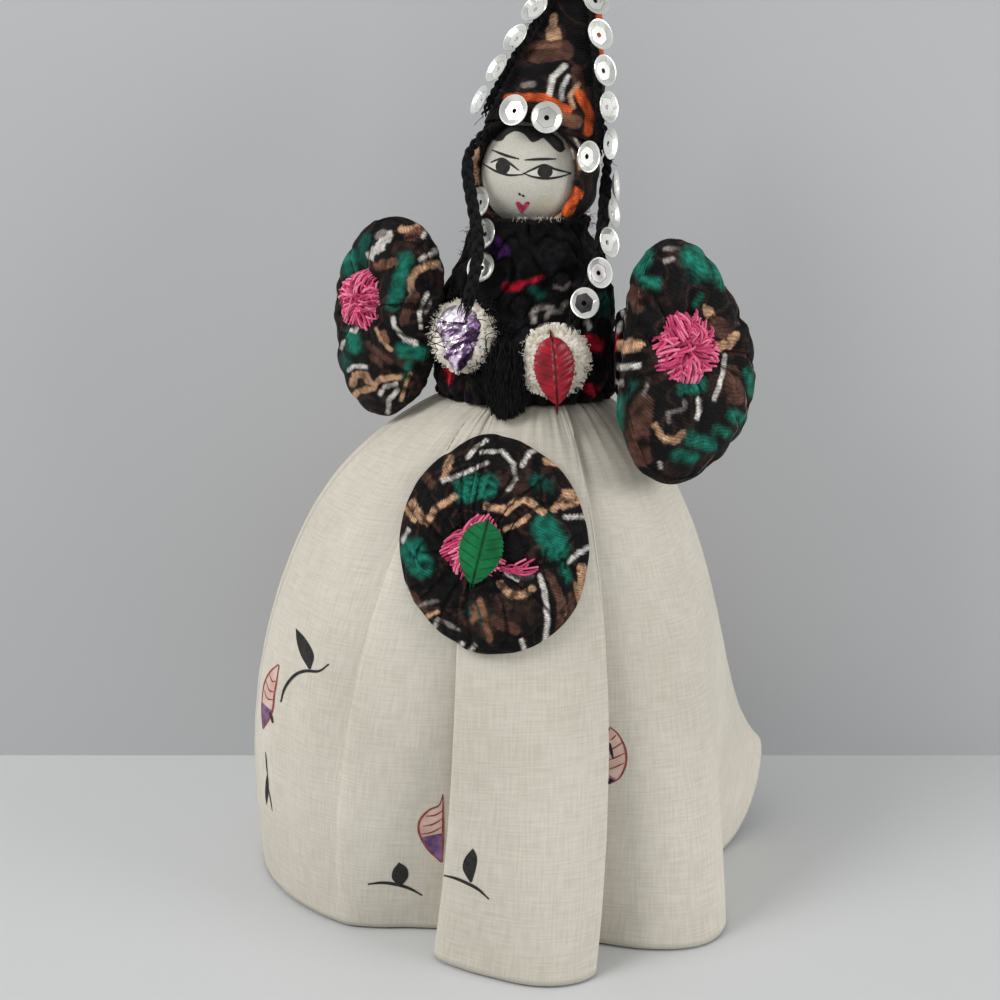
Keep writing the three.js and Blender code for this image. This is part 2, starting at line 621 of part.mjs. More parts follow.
// Neck: a rolled stub that rocks with the head in the cowl, bound with thread under the face cloth.
const tilted = new THREE.Group();
tilted.position.copy(headMiddle);
tilted.rotation.y = radians(HEAD_TILT);
doll.add(tilted);
const headSquash = vec(1, 1, HEAD_HEIGHT / HEAD_WIDTH);
const headBall = (grown) => ball(HEAD_WIDTH / 2 + grown, headSquash, 24, 16);
const neckReach = solid(ball(NECK_DROP, vec(1, 1, 1), 24, 16));
const neckRod = solid(rod(NECK_DIAMETER, -NECK_DROP - 1, 0)).intersect(neckReach);
piece(tilted, "neck_stub", fromSolid(neckRod.subtract(solid(headBall(SEAT_GAP)))), WADDING);
const neckThreadFoot = -NECK_DROP + 0.8;
piece(tilted, "neck_thread", winding(0, NECK_DIAMETER / 2, NECK_DIAMETER / 2, neckThreadFoot), BINDING);

// Head: the stuffed face ball inside a scarf that leaves the face open and the neck free.
const head = new THREE.Group();
head.rotation.z = radians(HEAD_TURN);
tilted.add(head);
piece(head, "head_ball", headBall(0), MUSLIN);
const faceOval = rod(FACE_WIDTH, 0, 2 * scarfRadius, 32).scale(1, FACE_HEIGHT / FACE_WIDTH, 1);
const faceOpening = faceOval.rotateX(Math.PI / 2).rotateZ(radians(FACE_TURN));
const neckOpening = rod(NECK_DIAMETER + 2 * (THREAD_DIAMETER + 2 * SEAT_GAP), -2 * scarfRadius, 0, 24);
const scarfBall = (grown) => ball(scarfRadius + grown, vec(1, 1, 1), 28, 18);
piece(head, "headscarf", cut(scarfBall(0), headBall(SEAT_GAP), faceOpening, neckOpening), PATTERNED);

// Hat: a tall cone of cloth over a wadding core, leaning to one side and back.
const hat = new THREE.Group();
hat.rotation.set(-radians(HAT_TIP_BACK), radians(HAT_LEAN), 0);
head.add(hat);
const HAT_PROFILE = [[1, 0], [0.94, 0.13], [0.77, 0.36], [0.52, 0.605], [0.3, 0.79], [0.18, 0.94]];
const hatCurve = new THREE.SplineCurve(HAT_PROFILE.map(([r, s]) => new THREE.Vector2(r, s)));
const onProfile = ({ x, y }) => [x * (HAT_WIDTH / 2), lerp(HAT_BRIM, HAT_LENGTH, y)];
const hatPoints = hatCurve.getPoints(8).map(onProfile);
function hatRadius(z) {
  const higher = hatPoints.findIndex(([, height]) => height >= z);
  const above = higher === -1 ? hatPoints.length - 1 : Math.max(1, higher);
  const [[r0, z0], [r1, z1]] = [hatPoints[above - 1], hatPoints[above]];
  return lerp(r0, r1, (z - z0) / (z1 - z0));
}
const hatTip = [0, HAT_LENGTH];
const innerHat = (inset) => hatPoints.map(([r, z]) => [r - inset, z - inset / 2]);
const underBrim = [HAT_WIDTH / 2 - HAT_CLOTH, HAT_BRIM - HAT_TUCK];
const hatLining = [[0, underBrim[1]], underBrim, ...innerHat(HAT_CLOTH), [0, HAT_LENGTH - HAT_CLOTH]];
const hatRoom = turned(hatLining, 28);
const scarfRoom = scarfBall(SEAT_GAP);
const hatOuter = turned([[0, HAT_BRIM], ...hatPoints, hatTip], 28);
piece(hat, "hat_cloth", cut(hatOuter, hatRoom, scarfRoom), PATTERNED);
const coreWall = HAT_CLOTH + SEAT_GAP;
const hatCore = turned([[0, HAT_BRIM], ...innerHat(coreWall), [0, HAT_LENGTH - coreWall - 1]], 28);
piece(hat, "hat_core", cut(hatCore, scarfRoom), WADDING);

// A sequin: a flat six-sided floor with a hole, and six facets that rise to a round rim. It faces +Z.
function sequinShape() {
  const ring = (count, r, z) =>
    Array.from({ length: count }, (_, i) => {
      const turn = (2 * Math.PI * i) / count;
      return vec(r * Math.cos(turn), r * Math.sin(turn), z);
    });
  const rim = SEQUIN_DIAMETER / 2;
  const levels = [0, SEQUIN_FILM].map((z) => [
    ring(6, SEQUIN_HOLE / 2, z),
    ring(6, 0.66 * rim, z),
    ring(12, rim, z + SEQUIN_CUP),
  ]);
  const points = levels.flat(2);
  const perFace = 24;
  const index = [];
  const face = (a, b, c, back) => index.push(...(back ? [a, c, b] : [a, b, c]));
  for (let i = 0; i < 6; i++) {
    const j = (i + 1) % 6;
    const [hole, floor, edge] = [(k) => k, (k) => 6 + k, (k) => 12 + (k % 12)];
    for (const side of [0, 1]) {
      const at = (k) => side * perFace + k;
      face(at(hole(i)), at(floor(i)), at(floor(j)), !side);
      face(at(hole(i)), at(floor(j)), at(hole(j)), !side);
      face(at(floor(i)), at(edge(2 * i)), at(edge(2 * i + 1)), !side);
      face(at(floor(i)), at(edge(2 * i + 1)), at(floor(j)), !side);
      face(at(floor(j)), at(edge(2 * i + 1)), at(edge(2 * i + 2)), !side);
    }
    face(hole(j), hole(i), perFace + hole(i));
    face(hole(j), perFace + hole(i), perFace + hole(j));
    for (const k of [2 * i, 2 * i + 1]) {
      face(edge(k), edge(k + 1), perFace + edge(k + 1));
      face(edge(k), perFace + edge(k + 1), perFace + edge(k));
    }
  }
  return closed(new THREE.BufferGeometry().setFromPoints(points).setIndex(index));
}
const sequinOn = (parent, name, point, normal, stem) => {
  const back = point.clone().addScaledVector(normal.clone().normalize(), stem / 2 + SEAT_GAP);
  piece(seat(parent, back, normal), name, sequinShape(), SILVER_FILM);
};

// Edging: a black cord up each side of the hat, with a row of sequins sewn along it.
const sequinSpacing = SEQUIN_DIAMETER + SEAT_GAP;
const EDGING_STEPS = 14;
// The outside of hat and scarf at height z, whichever stands further out.
const hoodRadius = (z) => Math.max(hatRadius(z), Math.sqrt(Math.max(0, scarfRadius ** 2 - z * z)));
function edging(side, { foot, low, high }) {
  const top = foot + EDGING_SEQUINS * sequinSpacing;
  const stand = 1.5 * SEAT_GAP + EDGING_DIAMETER / 2;
  const outAt = (z) => {
    const turn = radians(lerp(low, high, (z - foot) / (top - foot)));
    return vec(Math.sin(turn), -Math.cos(turn), 0);
  };
  const onHat = (z) => outAt(z).multiplyScalar(hoodRadius(z) + stand).setZ(z);
  const route = Array.from({ length: EDGING_STEPS }, (_, i) => onHat(lerp(foot, top, i / (EDGING_STEPS - 1))));
  const cord = tube(new THREE.CatmullRomCurve3(route), EDGING_DIAMETER, EDGING_STEPS);
  piece(hat, `hat_edging_${side}`, cord, BLACK_YARN);
  for (let i = 0; i < EDGING_SEQUINS; i++) {
    const z = foot + (i + 0.5) * sequinSpacing;
    const run = onHat(z + 1).sub(onHat(z - 1)).normalize();
    const normal = outAt(z).addScaledVector(run, -outAt(z).dot(run));
    sequinOn(hat, `sequin_hat_${side}_${i + 1}`, onHat(z), normal, EDGING_DIAMETER);
  }
}
edging("left", EDGING_LEFT);
edging("right", EDGING_RIGHT);

// Brow string: a thread along the hat's brim that drops to the right temple, with sequins across the forehead.
const BROW_BEARINGS = [-23, 5, 47];
const BROW_SPAN = [-48, 56];
const BROW_DROP = 5; // at the right end
const BROW_STEPS = 13;
function browPoint(bearing) {
  const turn = radians(bearing);
  const drop = BROW_DROP * THREE.MathUtils.smoothstep(bearing, 0, BROW_SPAN[1]);
  const z = HAT_BRIM + 1.5 * BROW_THREAD_DIAMETER - drop;
  const r = Math.max(HAT_WIDTH / 2, hoodRadius(z)) + SEAT_GAP + BROW_THREAD_DIAMETER / 2;
  return vec(r * Math.sin(turn), -r * Math.cos(turn), z);
}
const browAt = (i) => lerp(...BROW_SPAN, i / (BROW_STEPS - 1));
const browRoute = Array.from({ length: BROW_STEPS }, (_, i) => browPoint(browAt(i)));
const browCord = tube(new THREE.CatmullRomCurve3(browRoute), BROW_THREAD_DIAMETER, 2 * BROW_STEPS, 6);
piece(hat, "brow_thread", browCord, BLACK_YARN);
BROW_BEARINGS.forEach((bearing, i) => {
  const point = browPoint(bearing);
  sequinOn(hat, `sequin_brow_${i + 1}`, point, vec(point.x, point.y, 0), BROW_THREAD_DIAMETER);
});

// Tresses: a plait that hangs from each temple to the chest, with sequins sewn along it.
// Each route is given from the head's middle, in radii of the scarf.
const TRESS_LEFT_ROUTE = [
  [-1.008, -0.385, 0.346],
  [-0.985, -0.585, -0.038],
  [-0.9, -0.815, -0.5],
  [-0.831, -1.046, -0.962],
  [-0.885, -1.215, -1.385],
  [-0.977, -1.323, -1.769],
];
const TRESS_RIGHT_ROUTE = [
  [1.115, -0.115, 0.077],
  [1.092, -0.323, -0.277],
  [1.038, -0.654, -0.723],
  [0.958, -0.938, -1.185],
  [0.8, -1.169, -1.6],
  [0.6, -1.338, -1.992],
];
const tressSpacing = 1.03 * sequinSpacing;
function tress(side, route, { count, clear, low, high }) {
  const points = route.map((p) => vec(...p).multiplyScalar(scarfRadius).add(headMiddle));
  const curve = new THREE.CatmullRomCurve3(points);
  piece(doll, `tress_${side}`, tube(curve, TRESS_DIAMETER, 14), BLACK_YARN);
  const length = curve.getLength();
  console.log(`tress ${side}: ${length.toFixed(1)} mm`);
  for (let i = 0; i < count; i++) {
    const along = 1 - ((i + clear) * tressSpacing) / length;
    const run = curve.getTangentAt(along);
    const facing = low.clone().lerp(high, i / (count - 1));
    const normal = facing.addScaledVector(run, -facing.dot(run));
    sequinOn(doll, `sequin_tress_${side}_${i + 1}`, curve.getPointAt(along), normal, TRESS_DIAMETER);
  }
  return curve.getPointAt(0);
}
// Each tress's sequins: how many, how many spacings clear of its end, and the way the first and the last face.
const TRESS_LEFT_SEQUINS = { count: 3, clear: 1.1, low: vec(0.5, 0.85, 0), high: vec(0.7, 0.7, 0) };
const TRESS_RIGHT_SEQUINS = { count: 5, clear: 0.4, low: vec(0.2, -1, 0), high: vec(1, -0.3, 0) };
const templeLeft = tress("left", TRESS_LEFT_ROUTE, TRESS_LEFT_SEQUINS);
const templeRight = tress("right", TRESS_RIGHT_ROUTE, TRESS_RIGHT_SEQUINS);

const pivots = { headMiddle, shoulderLeft, shoulderRight, templeLeft, templeRight };
for (const [name, point] of Object.entries(pivots)) {
  console.log(`${name}: ${point.toArray().map((n) => n.toFixed(2)).join(", ")}`);
}

export default doll;
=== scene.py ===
# %% [markdown]
# # A cloth folk doll
# The doll is a calico skirt on a rag core, a stuffed bodice, two puffed sleeves, and a cotton head
# in a scarf and a tall sequined hat. The CAD frame holds every piece's place and how it moves.
# Here each soft solid gets the cloth, thread, wool or film that it stands for.

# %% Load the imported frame
import math
import random

import bmesh
import bpy
import numpy as np
from mathutils import Matrix, Vector, noise
from mathutils.bvhtree import BVHTree


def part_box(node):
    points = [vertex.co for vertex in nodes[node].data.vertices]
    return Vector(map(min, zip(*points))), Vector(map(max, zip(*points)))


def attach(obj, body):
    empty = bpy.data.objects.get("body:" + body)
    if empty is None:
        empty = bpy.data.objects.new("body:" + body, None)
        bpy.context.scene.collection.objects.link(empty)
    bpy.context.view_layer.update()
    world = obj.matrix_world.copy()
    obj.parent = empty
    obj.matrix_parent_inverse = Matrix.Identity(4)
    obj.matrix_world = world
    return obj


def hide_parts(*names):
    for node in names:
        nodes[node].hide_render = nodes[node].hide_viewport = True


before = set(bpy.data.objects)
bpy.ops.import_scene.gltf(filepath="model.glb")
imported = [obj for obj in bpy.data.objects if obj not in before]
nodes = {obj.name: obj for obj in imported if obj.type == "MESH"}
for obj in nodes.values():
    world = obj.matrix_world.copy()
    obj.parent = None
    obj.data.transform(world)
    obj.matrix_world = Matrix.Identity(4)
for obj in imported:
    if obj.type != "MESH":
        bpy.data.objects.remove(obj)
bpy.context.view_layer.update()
scene = bpy.context.scene
scene.view_settings.view_transform = "Standard"

# %% [markdown]
# Sizes below are written in millimetres, as on a paper pattern, and turned into metres once.
# The head leans and turns on the spine, and the hat leans again on the head, so both get a matrix
# of their own: a piece is shaped upright at the origin and then carried to its seat.

# %% Millimetres and seats
MM = 0.001
WELD = 1e-6
TURN = 2 * math.pi
UP = Vector((0, 0, 1))
HEAD_LEAN, HEAD_TURN = 8, -6
HAT_BACK, HAT_LEAN = -12, 5


def mm(x, y, z):
    return Vector((x, y, z)) * MM


def turned(degrees, axis):
    return Matrix.Rotation(math.radians(degrees), 4, axis)


def lerp(a, b, share):
    return a + (b - a) * share


def seat_on(point, normal, up=UP):
    """A seat at point whose +Z looks along normal and whose +Y leans towards up."""
    z = normal.normalized()
    x = up.cross(z).normalized()
    return Matrix.Translation(point) @ Matrix((x, z.cross(x), z)).transposed().to_4x4()


HEAD_MIDDLE = mm(1.5, 0, 152)
HEAD_SEAT = Matrix.Translation(HEAD_MIDDLE) @ turned(HEAD_LEAN, "Y") @ turned(HEAD_TURN, "Z")
HAT_SEAT = HEAD_SEAT @ turned(HAT_BACK, "X") @ turned(HAT_LEAN, "Y")
print("the head sits at", [round(x, 4) for x in HEAD_MIDDLE])

# %% [markdown]
# The camera stands where the photographer stood: level with the hat's brim, looking down by
# sixteen degrees. Depth of field stays off, because other views move this camera.

# %% The photograph's camera
CAMERA_TILT, CAMERA_ANGLE = 74, 40
camera = bpy.data.objects.new("photo_camera", bpy.data.cameras.new("photo_camera"))
scene.collection.objects.link(camera)
camera.location = mm(-5.1, -282, 165)
camera.rotation_euler = (math.radians(CAMERA_TILT), 0, 0)
camera.data.angle = math.radians(CAMERA_ANGLE)
camera.data.clip_start = 0.01
scene.camera = camera
print("camera at", list(camera.location))

# %% [markdown]
# Every finish is a small network of nodes. A helper keeps the wiring short: it adds a node, sets its
# sockets from numbers or from other nodes, and hands back the node's first output. Numbers that are
# the same all over a surface go straight on the shader's own sockets.

# %% A helper for finishes


class Dye:
    """One material and the nodes that colour it."""

    def __init__(self, name, roughness=0.9, **sockets):
        self.material = bpy.data.materials.new(name)
        self.material.use_nodes = True
        self.tree = self.material.node_tree
        self.shader = self.tree.nodes["Principled BSDF"]
        self.shader.inputs["Roughness"].default_value = roughness
        for key, value in sockets.items():
            self.shader.inputs[key.replace("_", " ")].default_value = value
        self.place = self.node("TexCoord").node.outputs["Object"]

    def feed(self, socket, value):
        if isinstance(value, bpy.types.NodeSocket):
            self.tree.links.new(value, socket)
        elif socket.type == "RGBA":
            socket.default_value = (*value, 1)
        else:
            socket.default_value = value

    def node(self, kind, sockets=None, **settings):
        made = self.tree.nodes.new("ShaderNode" + kind)
        for key, value in settings.items():
            setattr(made, key, value)
        for key, value in (sockets or {}).items():
            self.feed(made.inputs[key], value)
        return made.outputs[0]

    def math(self, operation, a, b=0.0):
        return self.node("Math", {0: a, 1: b}, operation=operation)

    def shift(self, vector, scale=(1, 1, 1), location=(0, 0, 0), rotation=(0, 0, 0)):
        sockets = {"Vector": vector, "Scale": scale, "Location": location}
        return self.node("Mapping", {**sockets, "Rotation": [math.radians(r) for r in rotation]})

    def noise(self, scale, detail=2.0, vector=None, distortion=0.0):
        sockets = {"Vector": vector or self.place, "Scale": scale, "Detail": detail}
        return self.node("TexNoise", {**sockets, "Distortion": distortion})

    def ribs(self, spacing, vector=None, wobble=1.5):
        """Fine ribs across X, so many millimetres apart."""
        sockets = {"Vector": vector or self.place, "Scale": math.pi / (10 * spacing * MM)}
        return self.node("TexWave", {**sockets, "Distortion": wobble, "Detail": 1.0})

    def uv(self):
        return self.node("UVMap", uv_map="Weave")

    def tint(self):
        return self.node("Attribute", attribute_name="tint").node.outputs["Fac"]

    def printed(self):
        return self.node("Attribute", attribute_name="print")

    def ramp(self, factor, stops):
        out = self.node("ValToRGB", {"Fac": factor})
        band = out.node.color_ramp
        while len(band.elements) < len(stops):
            band.elements.new(1)
        for element, (at, color) in zip(band.elements, stops):
            element.position = at
            element.color = (*color, 1)
        return out

    def fade(self, factor, dark, light, low=0.3, high=0.7):
        """From the dark colour, where the factor is low, to the light one where it is high."""
        return self.ramp(factor, [(low, dark), (high, light)])

    def step(self, factor, low, high):
        """0 at low, 1 at high, and smooth between them."""
        sockets = {"Value": factor, "From Min": low, "From Max": high}
        return self.node("MapRange", sockets, interpolation_type="SMOOTHSTEP")

    def mix(self, factor, a, b, way="MIX"):
        sockets = {0: factor, 6: a, 7: b}
        return self.node("Mix", sockets, data_type="RGBA", blend_type=way).node.outputs[2]

    def blot(self, under, color, middle, radii, ragged=0.5, grain=500):
        """A ragged spot of colour over the colour under it. Its middle and radii are millimetres."""
        scale = tuple(1 / (r * MM) for r in radii)
        start = tuple(-m / r for m, r in zip(middle, radii))
        from_middle = {0: self.shift(self.place, scale, start)}
        near = self.node("VectorMath", from_middle, operation="LENGTH").node.outputs["Value"]
        edge = self.math("MULTIPLY_ADD", self.noise(grain, 3), ragged)
        self.feed(edge.node.inputs[2], near)
        inside = self.step(edge, 1.1 + ragged / 2, 0.85 + ragged / 2)
        return self.mix(inside, under, color)

    def color(self, value):
        self.feed(self.shader.inputs["Base Color"], value)
        return self

    def bump(self, height, strength, depth):
        sockets = {"Height": height, "Strength": strength, "Distance": depth * MM}
        self.feed(self.shader.inputs["Normal"], self.node("Bump", sockets))
        return self


# %% [markdown]
# Calico is unbleached cotton: warm cream, matt, with slubs where a thread runs thick. A wave texture
# would draw every thread, but it shimmers from afar. Two noises stretched along the weave, one each
# way, give thread without a pattern.

# %% Calico


def plain_weave(name, light, dark, threads=2300, run=150):
    dye = Dye(name, 0.92, Sheen_Weight=0.06)
    warp = dye.noise(1, 2, dye.shift(dye.uv(), (threads, run, 1)))
    weft = dye.noise(1, 2, dye.shift(dye.uv(), (run, threads, 1)))
    weave = dye.math("MULTIPLY", dye.math("ADD", warp, weft), 0.5)
    ground = dye.fade(dye.noise(26, 3), dark, light, 0.36, 0.64)
    slubs = dye.fade(weave, (0.86, 0.85, 0.83), (1, 1, 1), 0.38, 0.6)
    return dye.color(dye.mix(1, ground, slubs, "MULTIPLY")).bump(weave, 0.45, 0.16)


CALICO = plain_weave("cream_calico", (0.68, 0.64, 0.55), (0.61, 0.57, 0.485)).material
print("skirt cloth:", CALICO.name)

# %% [markdown]
# The head's muslin is finer and whiter, and has a faint stain on one cheek. Wadding and rag never
# show on the finished doll, so one noise for colour and bump is enough for them.

# %% Muslin, wadding and rag
STAIN = mm(3.6, -8.5, -5.2)
STAIN_RADII = (2.6, 3.5, 2.2)

muslin = Dye("white_muslin", 0.9, Sheen_Weight=0.08)
fine = muslin.math("ADD", muslin.noise(3200, 1), muslin.noise(900, 2))
cotton = muslin.fade(muslin.noise(120, 3), (0.55, 0.525, 0.455), (0.63, 0.605, 0.535))
cotton = muslin.blot(cotton, (0.57, 0.53, 0.42), HEAD_SEAT @ STAIN / MM, STAIN_RADII, 0.9, 700)
threads = muslin.fade(muslin.noise(2600, 1), (0.9, 0.9, 0.89), (1, 1, 1), 0.3, 0.65)
MUSLIN = muslin.color(muslin.mix(1, cotton, threads, "MULTIPLY")).bump(fine, 0.5, 0.16).material


def lumpy(name, roughness, dark, light, scale, depth, stretch=(1, 1, 1)):
    """A stuffing whose one noise gives both its colour and its lumps."""
    dye = Dye(name, roughness)
    lumps = dye.noise(scale, 4, dye.shift(dye.place, stretch))
    return dye.color(dye.fade(lumps, dark, light)).bump(lumps, 0.6, depth).material


WADDING = lumpy("cotton_wadding", 1.0, (0.55, 0.53, 0.48), (0.75, 0.73, 0.68), 260, 0.6)
RAG = lumpy("rolled_rag", 0.95, (0.30, 0.26, 0.19), (0.46, 0.41, 0.31), 90, 0.8, (1, 1, 4))
print("plain cloths:", MUSLIN.name, WADDING.name, RAG.name)

# %% [markdown]
# Sleeves, apron, scarf and hat are cut from one dark printed cloth: black and brown, with tan and white
# bands that curl across it and patches of teal wool. A texture of bands would fall anywhere, so the print is
# a colour attribute on each piece's points, drawn further down together with painted shade in its folds. The
# finish adds what thread does to it: fine ribs, streaks and lint.

# %% Patterned cloth
BLACK = (0.006, 0.005, 0.005)
DARK_BROWN = (0.034, 0.017, 0.014)
BROWN = (0.12, 0.055, 0.038)
RUSSET = (0.26, 0.12, 0.07)
TAN = (0.66, 0.39, 0.23)
GREY = (0.30, 0.26, 0.24)
WHITE = (0.80, 0.76, 0.70)
ORANGE = (0.82, 0.13, 0.03)
TEAL = (0.010, 0.20, 0.135)
DEEP_TEAL = (0.006, 0.09, 0.068)
CHERRY = (0.50, 0.008, 0.03)
PURPLE = (0.075, 0.02, 0.13)


def printed_cloth(name, rib_turn=(20, 35, 50), rib=0.36, strong=0.5):
    dye = Dye(name, 0.85, Sheen_Weight=0.02, Specular_IOR_Level=0.15)
    ribs = dye.ribs(rib, dye.shift(dye.place, rotation=rib_turn), 2.5)
    thread = dye.fade(ribs, (0.40, 0.38, 0.38), (1, 1, 1), 0.15, 0.7)
    color = dye.mix(strong, dye.printed(), thread, "MULTIPLY")
    streaks = dye.noise(1, 3, dye.shift(dye.place, (700, 2300, 1100), rotation=(30, 10, 40)))
    worn = dye.fade(streaks, (0.45, 0.45, 0.45), (1, 1, 1), 0.32, 0.62)
    color = dye.mix(0.85, color, worn, "MULTIPLY")
    lint = dye.step(dye.noise(1300, 2), 0.68, 0.8)
    color = dye.mix(dye.math("MULTIPLY", lint, 0.14), color, (0.26, 0.22, 0.20))
    return dye.color(color).bump(dye.math("ADD", ribs, dye.noise(700, 3)), 0.6, 0.2).material


PATTERNED = printed_cloth("patterned_cloth")
APRON_CLOTH = printed_cloth("apron_cloth", (10, 60, 25))
HAT_CLOTH = printed_cloth("hat_cloth_print", (0, 80, 10), 0.42, 0.35)
print("patterned cloths:", PATTERNED.name, APRON_CLOTH.name, HAT_CLOTH.name)

# %% [markdown]
# The bodice and the arms are another cloth: black, matt and soft with lint, with woven flowers of which only
# spots of red, purple, teal and tan show between the folds. Its print is an attribute too, with painted
# shade in its folds.

# %% Floral black cloth and yarn
floral = Dye("floral_black_cloth", 0.95, Sheen_Weight=0.02, Specular_IOR_Level=0.12)
nap = floral.noise(520, 5)
spun = floral.fade(nap, (0.25, 0.25, 0.26), (1, 1, 1), 0.34, 0.62)
ground = floral.mix(0.9, floral.printed(), spun, "MULTIPLY")
flecks = floral.math("MULTIPLY", floral.step(floral.noise(900, 3), 0.66, 0.8), 0.10)
ground = floral.mix(flecks, ground, (0.24, 0.23, 0.25))
FLORAL = floral.color(ground).bump(nap, 0.9, 0.6).material

yarn = Dye("black_yarn", 0.9, Sheen_Weight=0.02, Specular_IOR_Level=0.15)
fibre = yarn.noise(900, 3)
yarn.color(yarn.fade(fibre, (0.003, 0.003, 0.003), (0.012, 0.011, 0.012), 0.35))
BLACK_YARN = yarn.bump(fibre, 0.5, 0.15).material
print("black cloth and yarn:", FLORAL.name, BLACK_YARN.name)

# %% [markdown]
# Cloth is easiest to think of as a flat grid: its two directions are the warp and the weft. The grid
# is carried point by point to its shape, edges that meet are merged, and the flat grid stays on as
# the UV map, in metres, so a weave keeps its true size.

# %% Cloth from a grid


def cloth_grid(columns, rows, place, size):
    """A grid of quads, each point at place(u, v) for u and v from 0 to 1, with its flat size as UV map."""
    bm = bmesh.new()
    weave = bm.loops.layers.uv.new("Weave")
    bmesh.ops.create_grid(bm, x_segments=columns, y_segments=rows, size=0.5)
    for face in bm.faces:
        for loop in face.loops:
            u, v, _ = loop.vert.co
            loop[weave].uv = ((u + 0.5) * size[0], (v + 0.5) * size[1])
    for vert in bm.verts:
        vert.co = place(vert.co.x + 0.5, vert.co.y + 0.5)
    bmesh.ops.remove_doubles(bm, verts=bm.verts, dist=WELD)
    return bm


def show(name, bm, finishes, body, stands_for=(), smooth=True):
    """Makes a bmesh a piece that rides a body and stands for the CAD nodes named."""
    for face in bm.faces:
        face.smooth = smooth
    mesh = bpy.data.meshes.new(name)
    bm.to_mesh(mesh)
    bm.free()
    for finish in finishes:
        mesh.materials.append(finish)
    piece = bpy.data.objects.new(name, mesh)
    scene.collection.objects.link(piece)
    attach(piece, body)
    if stands_for:
        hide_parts(*stands_for)
    print(name, len(mesh.polygons), "faces")
    return piece


def thicken(piece, thickness):
    """Gives a sheet its thickness in millimetres, inwards."""
    wall = piece.modifiers.new("cloth", "SOLIDIFY")
    wall.thickness = thickness * MM
    wall.offset = -1


# %% [markdown]
# Folds need smooth noise at a point, and fine prints need more points than a simulation can carry.
# Both helpers are kept apart from any piece.

# %% Noise and finer cloth


def ripple(x, y, z, scale, seed=0.0):
    """Smooth noise from about -1 to 1 at a point in millimetres, with folds of about that scale.
    Each seed looks at a place of its own in the noise."""
    return noise.noise(Vector((x / scale + seed * 7.13, y / scale - seed * 3.7, z / scale + seed * 1.9)))


def finished_mesh(thing):
    """A new mesh of an object as its modifiers or its bevel leave it."""
    return bpy.data.meshes.new_from_object(thing.evaluated_get(bpy.context.evaluated_depsgraph_get()))


def refined(bm):
    """A bmesh with each face split in four and smoothed."""
    mesh = bpy.data.meshes.new("coarse")
    bm.to_mesh(mesh)
    bm.free()
    holder = bpy.data.objects.new("coarse", mesh)
    scene.collection.objects.link(holder)
    split = holder.modifiers.new("split", "SUBSURF")
    split.levels = split.render_levels = 1
    fine_mesh = finished_mesh(holder)
    bpy.data.objects.remove(holder)
    made = bmesh.new()
    made.from_mesh(fine_mesh)
    bpy.data.meshes.remove(mesh)
    bpy.data.meshes.remove(fine_mesh)
    return made


print("noise at the head's middle:", round(ripple(*HEAD_MIDDLE / MM, 8), 3))

# %% [markdown]
# A print is drawn as marks: each has a colour, a width and a line of points, given in the pixels of the
# photograph, which is a thousand pixels wide and high. So every point of cloth has to know its pixel, how
# far that is from a mark's line, and how deep it lies in a fold, for painted shade in hollows and a painted
# highlight on ridges.

# %% Pixels of the photograph
PHOTO_HALF = 500
FOCAL = PHOTO_HALF / math.tan(math.radians(CAMERA_ANGLE / 2))
EYE = camera.location.copy()
SIGHT = camera.rotation_euler.to_matrix()


def pixels_of(places):
    """Where points in metres stand in the photograph."""
    seen = (places - np.array(EYE)) @ np.array(SIGHT)
    return PHOTO_HALF + FOCAL * np.stack([-seen[:, 0], seen[:, 1]], 1) / seen[:, 2:]


def from_line(pixels, points):
    """How far each pixel is from a line of points."""
    near = np.full(len(pixels), 1e9)
    line = np.array(points, float)
    for a, b in zip(line, line[1:]):
        run = np.clip((pixels - a) @ (b - a) / ((b - a) @ (b - a)), 0, 1)
        near = np.minimum(near, np.linalg.norm(pixels - a - run[:, None] * (b - a), axis=1))
    return near


def hollows(bm):
    """How deep each point of a bmesh lies between its neighbours, as a share of their distance."""
    deep = []
    for vert in bm.verts:
        around = [edge.other_vert(vert).co - vert.co for edge in vert.link_edges]
        spacing = sum(step.length for step in around)
        deep.append(sum((step.dot(vert.normal) for step in around), 0.0) / max(spacing, 1e-9))
    return np.array(deep)


print("the photograph's focal length is", round(FOCAL), "pixels")

# %% [markdown]
# A point of cloth that faces the camera takes a mark's colour when it is near the mark's line, with a ragged
# edge, and a woolly one for the teal patches. Cloth that the photograph doesn't show gets curling bands
# instead: places where a slow noise passes a level. Last, each point is made darker the deeper it lies in a
# fold and lighter on a ridge: painted shade and painted highlight.

# %% Printed marks
SOFT_EDGE, WOOLLY_EDGE, BAND_EDGE = 1.6, 7.0, 0.012
# The sizes in millimetres of the ground's mottle, of frayed edges, of the bands and of random lighter and
# darker clouds.
MOTTLE, FRAY, FINE_FRAY, BAND_SIZE, CURL_SIZE, CLOUD_SIZE = 8, 1.3, 0.55, 12, 7, 2.2
# Each band: the level of the noise at its middle, half its width in that noise, and its colour.
UNSEEN_BANDS = [(-0.34, 0.05, TAN), (-0.22, 0.03, WHITE), (-0.05, 0.04, BROWN), (0.10, 0.025, WHITE),
                (0.17, 0.03, TAN), (0.42, 0.13, TEAL)]
FAINT_BANDS = [(-0.27, 0.06, BROWN), (0.25, 0.05, BROWN)]
FAINT = 0.3
FULL_FRAY_WIDTH = 11


def lay_color(colors, inside, color):
    """Lays a colour over an array of colours, by the share that each of them is inside."""
    colors += inside[:, None] * (np.array(color) - colors)


